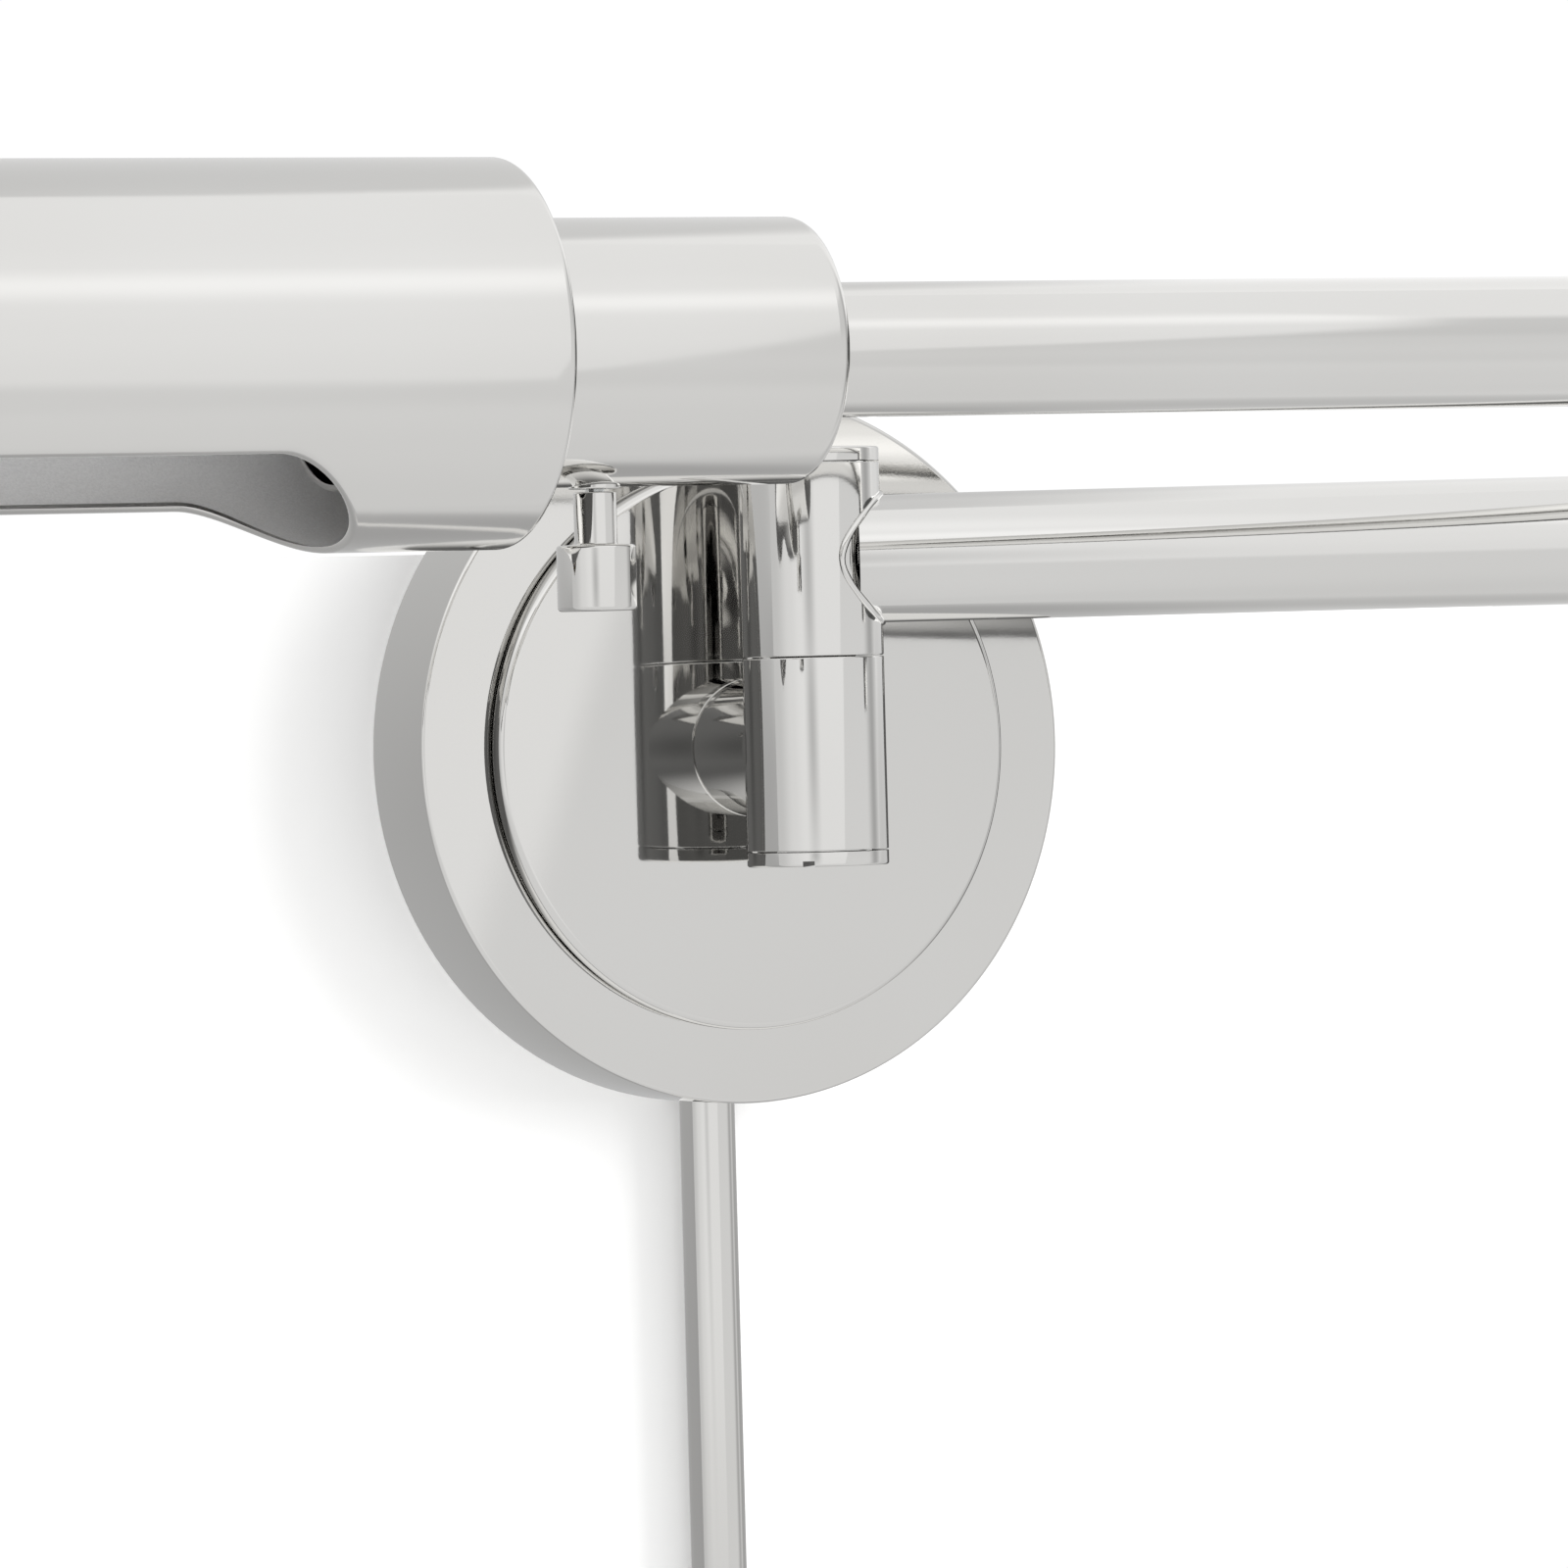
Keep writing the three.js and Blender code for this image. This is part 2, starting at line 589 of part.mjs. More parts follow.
const canopyInside = -CANOPY_DEPTH + CANOPY_WALL;
const nippleFront = DISC_FACE - NIPPLE_SEAT;
const nippleHole = NIPPLE_RADIUS + GAP;
const washerRear = canopyInside + GAP + WASHER_THICKNESS;
const nippleNut = hexNut(NUT_FLAT_RADIUS, NUT_HEIGHT, nippleHole)
  .rotateX(-Math.PI / 2)
  .translate(0, washerRear + GAP, 0);
const fixtureNipple = ring("y", NIPPLE_RADIUS, NIPPLE_BORE, nippleFront, NIPPLE_REAR, SMALL);
const lockWasher = ring("y", WASHER_RADIUS, nippleHole, canopyInside + GAP, washerRear, SMALL);
add(sconce, "fixture_nipple", fixtureNipple, steel);
add(sconce, "nipple_lock_washer", lockWasher, steel);
add(sconce, "nipple_nut", nippleNut, steel);
add(sconce, "wall_stub", wallStub(), nickel);

const lowerBarrelMiddle = -STUB_ABOVE_BARREL;
const stubHole = rod("y", CABLE_HOLE, 0, 2 * KNUCKLE_RADIUS, SMALL)
  .translate(0, 0, STUB_ABOVE_BARREL);
add(sconce, "wall_knuckle_lower_barrel", cut(barrel(true), stubHole), nickel)
  .position.set(0, -KNUCKLE_STANDOFF, lowerBarrelMiddle);
add(sconce, "wall_knuckle_bottom_cap", barrelCap(false), nickel)
  .position.set(0, -KNUCKLE_STANDOFF, lowerBarrelMiddle);
addPivot(sconce, "wall", 0, -KNUCKLE_STANDOFF, lowerBarrelMiddle + PITCH / 2);

// Wiring inside the canopy and up through the wall knuckle. Each list is a cable's own path.
const pivotCableTop = lowerBarrelMiddle + PITCH / 2 + PIVOT_ABOVE_SEAM;
const baseCable = cable([
  [0, -7.2, 0],
  [0, -20, 0],
  [0, -32, 0],
  [0, -41, -0.2],
  [0, -46.4, 0.9],
  [0, -KNUCKLE_STANDOFF, 4.6],
  [0, -KNUCKLE_STANDOFF, 12],
  [0, -KNUCKLE_STANDOFF, pivotCableTop],
], CABLE_RADIUS, CABLE_STEPS);
add(sconce, "base_cable", baseCable, jacket);
for (const [name, side, material] of [["live", 1, jacket], ["neutral", -1, whiteWire]]) {
  const nut = turned("z", [[0, -26], [5.2, -26], [5.2, -18], [3.8, -10], [0, -10]], SMALL);
  add(sconce, `wire_nut_${name}`, nut, wireNutPlastic)
    .position.set(side * WIRE_NUT_OFFSET, -WIRE_NUT_DEPTH, 0);
  const lead = cable([
    [side * WIRE_NUT_OFFSET, -WIRE_NUT_DEPTH, -9.7],
    [side * WIRE_NUT_OFFSET, -WIRE_NUT_DEPTH, -5],
    [side * 19, -9, 0.5],
    [side * 12, -7, 2.5],
    [side * 5.5, -5.9, 1.2],
    [side * 1.5, -5.6, 0],
  ], LEAD_RADIUS, LEAD_STEPS);
  add(sconce, `${name}_lead`, lead, material);
}

// Cord cover.
const coverBottom = COVER_TOP - COVER_LENGTH;
const coverBore = COVER_RADIUS - COVER_WALL;
const bushing = turned("z", [
  [BUSHING_BORE, coverBottom - BUSHING_RIM],
  [COVER_RADIUS, coverBottom - BUSHING_RIM],
  [COVER_RADIUS, coverBottom - GAP],
  [coverBore - GAP, coverBottom - GAP],
  [coverBore - GAP, coverBottom + BUSHING_PLUG],
  [BUSHING_BORE, coverBottom + BUSHING_PLUG],
], SMALL);
const coverTube = ring("z", COVER_RADIUS, coverBore, coverBottom, COVER_TOP, MIDDLE);
add(sconce, "cord_cover_tube", coverTube, nickel).position.set(COVER_SIDE, -COVER_STANDOFF, 0);
add(sconce, "cord_cover_bushing", bushing, nylon).position.set(COVER_SIDE, -COVER_STANDOFF, 0);
add(sconce, "cord_cover_clip", coverStrap(), nickel).position.set(COVER_SIDE, 0, CLIP_HEIGHT);

// Inner arm: turns on the wall knuckle.
const innerArm = new THREE.Group();
innerArm.position.set(0, -KNUCKLE_STANDOFF, INNER_ARM_HEIGHT);
innerArm.rotation.z = INNER_ARM_ANGLE * DEGREE;
sconce.add(innerArm);
add(innerArm, "wall_knuckle_upper_barrel", cut(barrel(false), armHole(1)), nickel);
add(innerArm, "wall_knuckle_top_cap", barrelCap(true), nickel);
add(innerArm, "inner_arm_tube", armTube(0, INNER_ARM_LENGTH, [0, INNER_ARM_LENGTH]), nickel);
add(innerArm, "elbow_lower_barrel", cut(barrel(true), armHole(-1)), nickel)
  .position.x = INNER_ARM_LENGTH;
add(innerArm, "elbow_bottom_cap", barrelCap(false), nickel).position.x = INNER_ARM_LENGTH;
addPivot(innerArm, "elbow", INNER_ARM_LENGTH, 0, PITCH / 2);
const pivotTopBelowArm = -PITCH / 2 + PIVOT_ABOVE_SEAM + GAP;
const innerCable = cable([
  [0, 0, pivotTopBelowArm],
  [0.4, 0, -3.4],
  [3.2, 0, -0.8],
  [9, 0, 0],
  [INNER_ARM_LENGTH / 2, 0, -2],
  [INNER_ARM_LENGTH - 9, 0, 0],
  [INNER_ARM_LENGTH - 2.4, 0, 1.6],
  [INNER_ARM_LENGTH, 0, 5.6],
  [INNER_ARM_LENGTH, 0, 13],
  [INNER_ARM_LENGTH, 0, PITCH / 2 + PIVOT_ABOVE_SEAM],
], CABLE_RADIUS, CABLE_STEPS);
add(innerArm, "inner_arm_cable", innerCable, jacket);

// Outer arm: turns on the elbow, and carries the housing, lampholder, bulb and switch.
const outerArm = new THREE.Group();
outerArm.position.set(INNER_ARM_LENGTH, 0, PITCH);
outerArm.rotation.z = (OUTER_ARM_ANGLE - INNER_ARM_ANGLE) * DEGREE;
innerArm.add(outerArm);
const tubeEnd = HOUSING_START - GAP;
const plugRadius = ARM_RADIUS - ARM_WALL - GAP;
const plug = ring("x", plugRadius, nippleHole, tubeEnd - PLUG_LENGTH, tubeEnd, SMALL);
const housingNipple = ring(
  "x", NIPPLE_RADIUS, NIPPLE_BORE, tubeEnd - HOUSING_NIPPLE_REACH, LAMPHOLDER_CUP + GAP, SMALL,
);
const lockNut = hexNut(NUT_FLAT_RADIUS, NUT_HEIGHT, nippleHole)
  .rotateY(Math.PI / 2)
  .translate(HOUSING_START + HOUSING_EDGE + GAP, 0, 0);
const shellStart = LAMPHOLDER_CUP + LAMPHOLDER_FLOOR + 1;
const screwShell = ring(
  "x", SHELL_RADIUS, SHELL_RADIUS - SHELL_WALL, shellStart, LAMPHOLDER_END - 2, MIDDLE,
);
add(outerArm, "elbow_upper_barrel", cut(barrel(false), armHole(1)), nickel);
add(outerArm, "elbow_top_cap", barrelCap(true), nickel);
add(outerArm, "outer_arm_tube", armTube(0, tubeEnd, [0]), nickel);
add(outerArm, "outer_arm_plug", plug, brass);
add(outerArm, "socket_housing", socketHousing(), nickel);
add(outerArm, "housing_nipple", housingNipple, steel);
add(outerArm, "housing_lock_nut", lockNut, steel);
add(outerArm, "lampholder_body", lampholderBody(), phenolic);
add(outerArm, "lampholder_screw_shell", screwShell, brass);
add(outerArm, "lampholder_contact", block(1, 6, 4, shellStart, 0, 0), brass);
add(outerArm, "bulb_cap", bulbCap(), brass);
add(outerArm, "bulb_glass", bulbGlass(), opal);
const outerCable = cable([
  [0, 0, pivotTopBelowArm],
  [0.4, 0, -3.4],
  [3.2, 0, -0.8],
  [9, 0, 0],
  [110, 0, -2],
  [200, 0, -0.6],
  [230, 0, 0],
  [260, 0, 0],
  [LAMPHOLDER_CUP - GAP, 0, 0],
], CABLE_RADIUS, CABLE_STEPS);
add(outerArm, "outer_arm_cable", outerCable, jacket);

// Switch body and bushing stay with the arm; the shaft and the knob turn in them.
const switchBody = block(SWITCH_BODY_LENGTH, SWITCH_BODY_WIDTH, SWITCH_BODY_HEIGHT)
  .translate(SWITCH_ALONG, 0, SWITCH_FLOOR + SWITCH_BODY_HEIGHT / 2);
const switchBore = SWITCH_SHAFT_RADIUS + GAP;
const switchTop = SWITCH_FLOOR - GAP;
const switchBushing = ring(
  "z", SWITCH_BUSHING_RADIUS, switchBore, KNOB_TOP + GAP, switchTop, SMALL,
);
const shaftEnd = KNOB_TOP - KNOB_NECK_LENGTH - 1 + GAP;
const switchShaft = rod("z", SWITCH_SHAFT_RADIUS, shaftEnd, switchTop, SMALL);
add(outerArm, "switch_body", switchBody, phenolic);
add(outerArm, "switch_bushing", switchBushing, nickel).position.x = SWITCH_ALONG;
add(outerArm, "switch_shaft", switchShaft, steel).position.x = SWITCH_ALONG;
add(outerArm, "switch_knob", switchKnob(), nickel).position.x = SWITCH_ALONG;

// Shade: turns about the outer arm's own line, its opening a little towards the room.
const shade = new THREE.Group();
shade.rotation.x = SHADE_TILT * DEGREE;
outerArm.add(shade);
const endRadius = SHADE_RADIUS - SHADE_WALL - GAP;
const innerEndFace = SHADE_START + END_THICKNESS;
const collarStart = innerEndFace + GAP;
const collarEnd = collarStart + COLLAR_LENGTH;
const outerEndFace = SHADE_START + SHADE_LENGTH;
const frictionOuter = HOUSING_RADIUS + FRICTION_WALL;
const collarBore = frictionOuter + GAP;
const innerEnd = ring("x", endRadius, HOUSING_RADIUS + GAP, SHADE_START, innerEndFace, ROUND);
const collar = ring("x", collarBore + COLLAR_WALL, collarBore, collarStart, collarEnd, ROUND);
const frictionRing = ring(
  "x", frictionOuter, HOUSING_RADIUS + GAP, collarStart, collarEnd, ROUND,
);
const outerEnd = rod("x", endRadius, outerEndFace - END_THICKNESS, outerEndFace, ROUND);
add(shade, "shade_shell", shadeShell(), nickel);
add(shade, "shade_inner_end", innerEnd, nickel);
add(shade, "shade_collar", collar, brass);
add(shade, "shade_friction_ring", frictionRing, rubber);
add(shade, "shade_outer_end", outerEnd, nickel);

export default sconce;
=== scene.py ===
"""Looks of a swing arm wall sconce in polished nickel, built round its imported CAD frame.

Metres, +Z up, the wall is the plane y = 0 and the lamp stands out along -Y. Smooth, finely made
pieces replace the faceted CAD nodes that show; the rest of the nodes stay, with materials.
"""

import json
import math

import bmesh
import bpy
from mathutils import Matrix, Vector


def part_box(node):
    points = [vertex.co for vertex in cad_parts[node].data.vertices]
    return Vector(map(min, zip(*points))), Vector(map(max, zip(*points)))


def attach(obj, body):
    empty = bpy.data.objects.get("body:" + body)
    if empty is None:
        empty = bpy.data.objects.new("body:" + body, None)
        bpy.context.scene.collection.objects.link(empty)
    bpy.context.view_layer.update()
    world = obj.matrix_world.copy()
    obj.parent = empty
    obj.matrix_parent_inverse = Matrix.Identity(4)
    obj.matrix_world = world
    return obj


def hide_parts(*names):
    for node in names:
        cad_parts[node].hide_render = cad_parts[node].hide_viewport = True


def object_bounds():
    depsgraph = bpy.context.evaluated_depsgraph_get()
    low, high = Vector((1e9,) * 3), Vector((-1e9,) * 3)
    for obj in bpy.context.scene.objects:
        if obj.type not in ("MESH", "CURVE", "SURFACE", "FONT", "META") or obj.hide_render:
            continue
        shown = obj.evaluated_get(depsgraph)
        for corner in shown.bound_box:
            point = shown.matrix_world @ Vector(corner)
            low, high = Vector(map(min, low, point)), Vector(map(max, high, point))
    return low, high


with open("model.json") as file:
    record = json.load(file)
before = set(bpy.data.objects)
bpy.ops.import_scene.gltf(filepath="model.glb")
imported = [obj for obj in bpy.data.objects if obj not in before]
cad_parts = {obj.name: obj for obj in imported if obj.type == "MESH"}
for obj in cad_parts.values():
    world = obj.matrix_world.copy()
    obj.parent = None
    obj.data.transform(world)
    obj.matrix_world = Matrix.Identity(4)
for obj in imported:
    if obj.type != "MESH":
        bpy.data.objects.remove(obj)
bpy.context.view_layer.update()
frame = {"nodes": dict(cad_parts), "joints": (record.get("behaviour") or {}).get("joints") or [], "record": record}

MM = 0.001
CAD_GAP = 0.3 * MM
TURN = 2 * math.pi
QUARTER = math.radians(90)

# Sides of a turned piece: the canopy and disc, the other large pieces, the small ones.
WIDE = 256
ROUND = 192
FINE = 96


# ---------------------------------------------------------------- places, from the frame

JOINT = {joint["name"]: joint for joint in frame["joints"]}


def pivot(joint):
    return Vector(JOINT[joint]["pos_m"])


def frame_at(origin, x_axis, z_axis=(0, 0, 1)):
    """Matrix of a right-handed frame with that origin, X axis and Z axis."""
    x = Vector(x_axis).normalized()
    z = Vector(z_axis).normalized()
    y = z.cross(x)
    return Matrix.Translation(origin) @ Matrix((x, y, z)).transposed().to_4x4()


def middle(node):
    low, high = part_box(node)
    return (low + high) / 2


def size(node):
    low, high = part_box(node)
    return high - low


WALL_KNUCKLE = pivot("base_swivel")
ELBOW = pivot("elbow_swivel")
SHADE_AXIS = Vector(JOINT["shade_turn"]["axis"])
INNER_DIRECTION = Vector((ELBOW.x - WALL_KNUCKLE.x, ELBOW.y - WALL_KNUCKLE.y, 0)).normalized()

KNUCKLE_RADIUS = size("wall_knuckle_top_cap").x / 2
HALF_PITCH = (size("wall_knuckle_upper_barrel").z + CAD_GAP) / 2
INNER_HEIGHT = middle("wall_knuckle_upper_barrel").z - CAD_GAP / 4
OUTER_HEIGHT = pivot("shade_turn").z
CAP_FACE = HALF_PITCH + CAD_GAP
CAP_THICKNESS = 2.4 * MM

WALL_SIDE = frame_at((0, 0, 0), (0, -1, 0))
INNER_ARM = frame_at((WALL_KNUCKLE.x, WALL_KNUCKLE.y, INNER_HEIGHT), INNER_DIRECTION)
OUTER_ARM = frame_at((ELBOW.x, ELBOW.y, OUTER_HEIGHT), SHADE_AXIS)
INNER_LENGTH = (ELBOW.xy - WALL_KNUCKLE.xy).length

ARM_RADIUS = 11.35 * MM
ARM_BORE = 10.15 * MM
WELD_RADIUS = 0.62 * MM
HOUSING_WELD_RADIUS = 0.5 * MM
CANOPY_RADIUS = size("canopy").x / 2
CANOPY_DEPTH = size("canopy").y
DISC_RADIUS = size("centre_disc").x / 2
DISC_FACE = -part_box("centre_disc")[0].y
STUB_RADIUS = size("wall_stub").x / 2

HOUSING_RADIUS = 22.4 * MM
HOUSING_START = 231.5 * MM
HOUSING_END = 316.5 * MM
HOUSING_WALL = 1.2 * MM
LAMPHOLDER_RADIUS = 18.6 * MM
LAMPHOLDER_END = 315 * MM
BULB_RADIUS = 15.1 * MM
BULB_NECK = 12.4 * MM
BULB_START = 315.6 * MM
BULB_END = 430 * MM

SHADE_RADIUS = 32.5 * MM
SHADE_WALL = 1.0 * MM
SHADE_START = 286 * MM
SHADE_END = 516 * MM
SHADE_TILT = math.radians(10)
OPENING_MARGIN = 31.5 * MM
OPENING_HALF_WIDTH = 25.6 * MM
OPENING_NOSE = 19.5 * MM
SHADE = OUTER_ARM @ Matrix.Rotation(SHADE_TILT, 4, "X")


# ---------------------------------------------------------------- camera, as the photograph

CAMERA_AZIMUTH = math.radians(27.17)
CAMERA_ELEVATION = math.radians(0.59)
CAMERA_ROLL = math.radians(-1.51)
CAMERA_DISTANCE = 1.8223
CAMERA_LENS = 236.25
CAMERA_AIM = Vector((0, -0.0501, 0))
AIM_RIGHT = 0.00641
AIM_UP = 0.00669


def make_camera():
    look = Vector((
        math.sin(CAMERA_AZIMUTH) * math.cos(CAMERA_ELEVATION),
        math.cos(CAMERA_AZIMUTH) * math.cos(CAMERA_ELEVATION),
        -math.sin(CAMERA_ELEVATION),
    ))
    level = Vector((math.cos(CAMERA_AZIMUTH), -math.sin(CAMERA_AZIMUTH), 0))
    upright = level.cross(look)
    cosine, sine = math.cos(CAMERA_ROLL), math.sin(CAMERA_ROLL)
    right = cosine * level + sine * upright
    up = cosine * upright - sine * level
    place = CAMERA_AIM - CAMERA_DISTANCE * look - AIM_RIGHT * right - AIM_UP * up
    data = bpy.data.cameras.new("camera")
    data.lens = CAMERA_LENS
    data.sensor_width = 36
    data.clip_end = 20
    camera = bpy.data.objects.new("camera", data)
    bpy.context.scene.collection.objects.link(camera)
    camera.matrix_world = (
        Matrix.Translation(place) @ Matrix((right, up, -look)).transposed().to_4x4()
    )
    bpy.context.scene.camera = camera


# ---------------------------------------------------------------- materials

class Nodes:
    """A material's node tree, with short calls to add and link nodes."""

    def __init__(self, name):
        self.material = bpy.data.materials.new(name)
        self.material.use_nodes = True
        self.tree = self.material.node_tree
        self.shader = self.tree.nodes["Principled BSDF"]
        self.place = self.add("ShaderNodeTexCoord").outputs["Object"]

    def add(self, kind, **settings):
        node = self.tree.nodes.new(kind)
        for key, value in settings.items():
            setattr(node, key, value)
        return node

    def link(self, output, target):
        self.tree.links.new(output, target)

    def stretched(self, scale):
        mapping = self.add("ShaderNodeMapping")
        mapping.inputs["Scale"].default_value = scale
        self.link(self.place, mapping.inputs["Vector"])
        return mapping.outputs["Vector"]

    def noise(self, scale, detail=3, roughness=0.5, stretch=(1, 1, 1)):
        node = self.add("ShaderNodeTexNoise")
        node.inputs["Scale"].default_value = scale
        node.inputs["Detail"].default_value = detail
        node.inputs["Roughness"].default_value = roughness
        self.link(self.stretched(stretch), node.inputs["Vector"])
        return node.outputs["Fac"]

    def spread(self, value, low, high, start=0.3, end=0.7):
        """A value between start and end, mapped to between low and high."""
        node = self.add("ShaderNodeMapRange")
        node.inputs["From Min"].default_value = start
        node.inputs["From Max"].default_value = end
        node.inputs["To Min"].default_value = low
        node.inputs["To Max"].default_value = high
        self.link(value, node.inputs["Value"])
        return node.outputs["Result"]

    def colours(self, value, *stops):
        """Colours along a value: each stop is (position, (r, g, b))."""
        node = self.add("ShaderNodeValToRGB")
        ramp = node.color_ramp
        while len(ramp.elements) < len(stops):
            ramp.elements.new(0.5)
        for element, (position, colour) in zip(ramp.elements, stops):
            element.position = position
            element.color = (*colour, 1)
        self.link(value, node.inputs["Fac"])
        return node.outputs["Color"]

    def bump(self, height, strength, distance, normal=None):
        node = self.add("ShaderNodeBump")
        node.inputs["Strength"].default_value = strength
        node.inputs["Distance"].default_value = distance
        self.link(height, node.inputs["Height"])
        if normal is not None:
            self.link(normal, node.inputs["Normal"])
        return node.outputs["Normal"]

    def finish(self, colour, roughness, normal, metallic=0.0, **sockets):
        self.link(colour, self.shader.inputs["Base Color"])
        self.link(roughness, self.shader.inputs["Roughness"])
        self.link(normal, self.shader.inputs["Normal"])
        self.shader.inputs["Metallic"].default_value = metallic
        for key, value in sockets.items():
            self.shader.inputs[key.replace("_", " ")].default_value = value
        return self.material


def polished_nickel(name, low=0.035, high=0.075, wave=0.02):
    """Mirror plate: slight polishing waves, fine hairlines, faint smudges and a grain of pores."""
    n = Nodes(name)
    smudge = n.noise(28, 5, 0.6)
    cloud = n.noise(9, 2)
    colour = n.colours(cloud, (0.3, (0.655, 0.647, 0.63)), (0.7, (0.685, 0.68, 0.667)))
    roughness = n.spread(smudge, low, high, 0.35, 0.75)
    waves = n.bump(n.noise(34, 2, 0.4), wave, 0.0006)
    hairlines = n.bump(n.noise(500, 2, 0.6, (0.12, 1, 1.4)), 0.02, 0.00005, waves)
    pores = n.bump(n.noise(2600, 1), 0.02, 0.00003, hairlines)
    return n.finish(colour, roughness, pores, 1.0)


def zinc_steel():
    """Bright zinc plate: crystalline patches, rolled lines and dull spots."""
    n = Nodes("zinc_steel_look")
    patch = n.noise(140, 4, 0.65)
    colour = n.colours(patch, (0.3, (0.48, 0.50, 0.52)), (0.7, (0.70, 0.71, 0.70)))
    roughness = n.spread(n.noise(60, 4), 0.24, 0.46)
    rolled = n.bump(n.noise(900, 2, 0.5, (1, 1, 0.1)), 0.25, 0.0001)
    return n.finish(colour, roughness, n.bump(patch, 0.15, 0.0002, rolled), 1.0)


def raw_brass():
    """Drawn brass, slightly tarnished."""
    n = Nodes("brass_look")
    tarnish = n.noise(110, 5, 0.7)
    colour = n.colours(tarnish, (0.3, (0.47, 0.31, 0.10)), (0.65, (0.82, 0.62, 0.28)))
    roughness = n.spread(tarnish, 0.42, 0.2)
    drawn = n.bump(n.noise(1200, 2, 0.5, (0.1, 1, 1)), 0.2, 0.00008)
    return n.finish(colour, roughness, drawn, 1.0)


def black_phenolic():
    """Moulded phenolic with a fine mottle."""
    n = Nodes("black_phenolic_look")
    mottle = n.noise(420, 4, 0.7)
    colour = n.colours(mottle, (0.3, (0.010, 0.010, 0.011)), (0.75, (0.035, 0.031, 0.028)))
    roughness = n.spread(mottle, 0.3, 0.5)
    return n.finish(colour, roughness, n.bump(mottle, 0.2, 0.00008), Specular_IOR_Level=0.5)


def opal_glass():
    """Opal glass of the bulb: milky, glossy, faintly uneven."""
    n = Nodes("opal_glass_look")
    cloud = n.noise(40, 3)
    colour = n.colours(cloud, (0.3, (0.90, 0.885, 0.85)), (0.7, (0.96, 0.95, 0.93)))
    roughness = n.spread(n.noise(90, 3), 0.12, 0.24)
    material = n.finish(colour, roughness, n.bump(cloud, 0.05, 0.0004), Coat_Weight=0.3)
    n.shader.inputs["Subsurface Weight"].default_value = 0.15
    n.shader.inputs["Subsurface Radius"].default_value = (0.004, 0.0035, 0.003)
    return material


def moulded(name, dark, light, low, high, grain=600):
    """Moulded plastic or rubber with a fine grain."""
    n = Nodes(name)
    cloud = n.noise(70, 4, 0.6)
    colour = n.colours(cloud, (0.3, dark), (0.7, light))
    roughness = n.spread(n.noise(grain, 3), low, high)
    return n.finish(colour, roughness, n.bump(n.noise(grain, 3), 0.18, 0.00008))


def shade_lining():
    """The shade's inside: a sprayed matte aluminium-grey coat with a fine speckle."""
    n = Nodes("shade_lining_look")
    speckle = n.noise(2300, 3, 0.8)
    cloud = n.noise(30, 3)
    mix = n.add("ShaderNodeMath", operation="MULTIPLY_ADD")
    mix.inputs[1].default_value = 0.75
    n.link(speckle, mix.inputs[0])
    weak = n.add("ShaderNodeMath", operation="MULTIPLY")
    weak.inputs[1].default_value = 0.25
    n.link(cloud, weak.inputs[0])
    n.link(weak.outputs[0], mix.inputs[2])
    colour = n.colours(mix.outputs[0], (0.35, (0.76, 0.76, 0.77)), (0.65, (0.92, 0.92, 0.93)))
    roughness = n.spread(speckle, 0.42, 0.6)
    return n.finish(colour, roughness, n.bump(speckle, 0.3, 0.00012))


NICKEL = polished_nickel("polished_nickel_look")
NICKEL_SPUN = polished_nickel("spun_nickel_look", 0.07, 0.12, 0.035)
STEEL = zinc_steel()
BRASS = raw_brass()
PHENOLIC = black_phenolic()
OPAL = opal_glass()
NYLON = moulded("nylon_look", (0.74, 0.71, 0.63), (0.84, 0.82, 0.75), 0.4, 0.55)
RUBBER = moulded("rubber_look", (0.018, 0.018, 0.019), (0.035, 0.035, 0.036), 0.65, 0.85)
JACKET = moulded("jacket_look", (0.02, 0.02, 0.021), (0.05, 0.05, 0.052), 0.4, 0.6, 900)
WHITE_WIRE = moulded("white_wire_look", (0.74, 0.73, 0.70), (0.86, 0.85, 0.82), 0.35, 0.5)
WIRE_NUT = moulded("wire_nut_look", (0.66, 0.22, 0.03), (0.80, 0.34, 0.07), 0.3, 0.45)
LINING = shade_lining()

SLOT_LOOKS = {
    "polished_nickel": NICKEL,
    "zinc_steel": STEEL,
    "brass": BRASS,
    "black_phenolic": PHENOLIC,
    "opal_glass": OPAL,
    "white_nylon": NYLON,
    "rubber": RUBBER,
    "cable_jacket": JACKET,
    "white_wire": WHITE_WIRE,
    "wire_nut_orange": WIRE_NUT,
}


# ---------------------------------------------------------------- mesh helpers

def finish_mesh(name, mesh, materials, body, nodes, at, sharp=35):
    """Turns a bmesh into a piece in place, smooth but for its sharp edges, riding on a body."""
    bmesh.ops.recalc_face_normals(mesh, faces=mesh.faces)
    for face in mesh.faces:
        face.smooth = True
    for edge in mesh.edges:
        if len(edge.link_faces) == 2 and edge.calc_face_angle() > math.radians(sharp):
            edge.smooth = False
    mesh.transform(at)
    data = bpy.data.meshes.new(name)
    mesh.to_mesh(data)
    mesh.free()
    piece = bpy.data.objects.new(name, data)
    bpy.context.scene.collection.objects.link(piece)
    for material in materials:
        data.materials.append(material)
    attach(piece, body)
    if nodes:
        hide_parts(*nodes)
    return piece


def bake_modifiers(piece):
    """Applies a piece's modifiers to its mesh."""
    graph = bpy.context.evaluated_depsgraph_get()
    baked = bpy.data.meshes.new_from_object(piece.evaluated_get(graph))
    piece.modifiers.clear()
    piece.data = baked


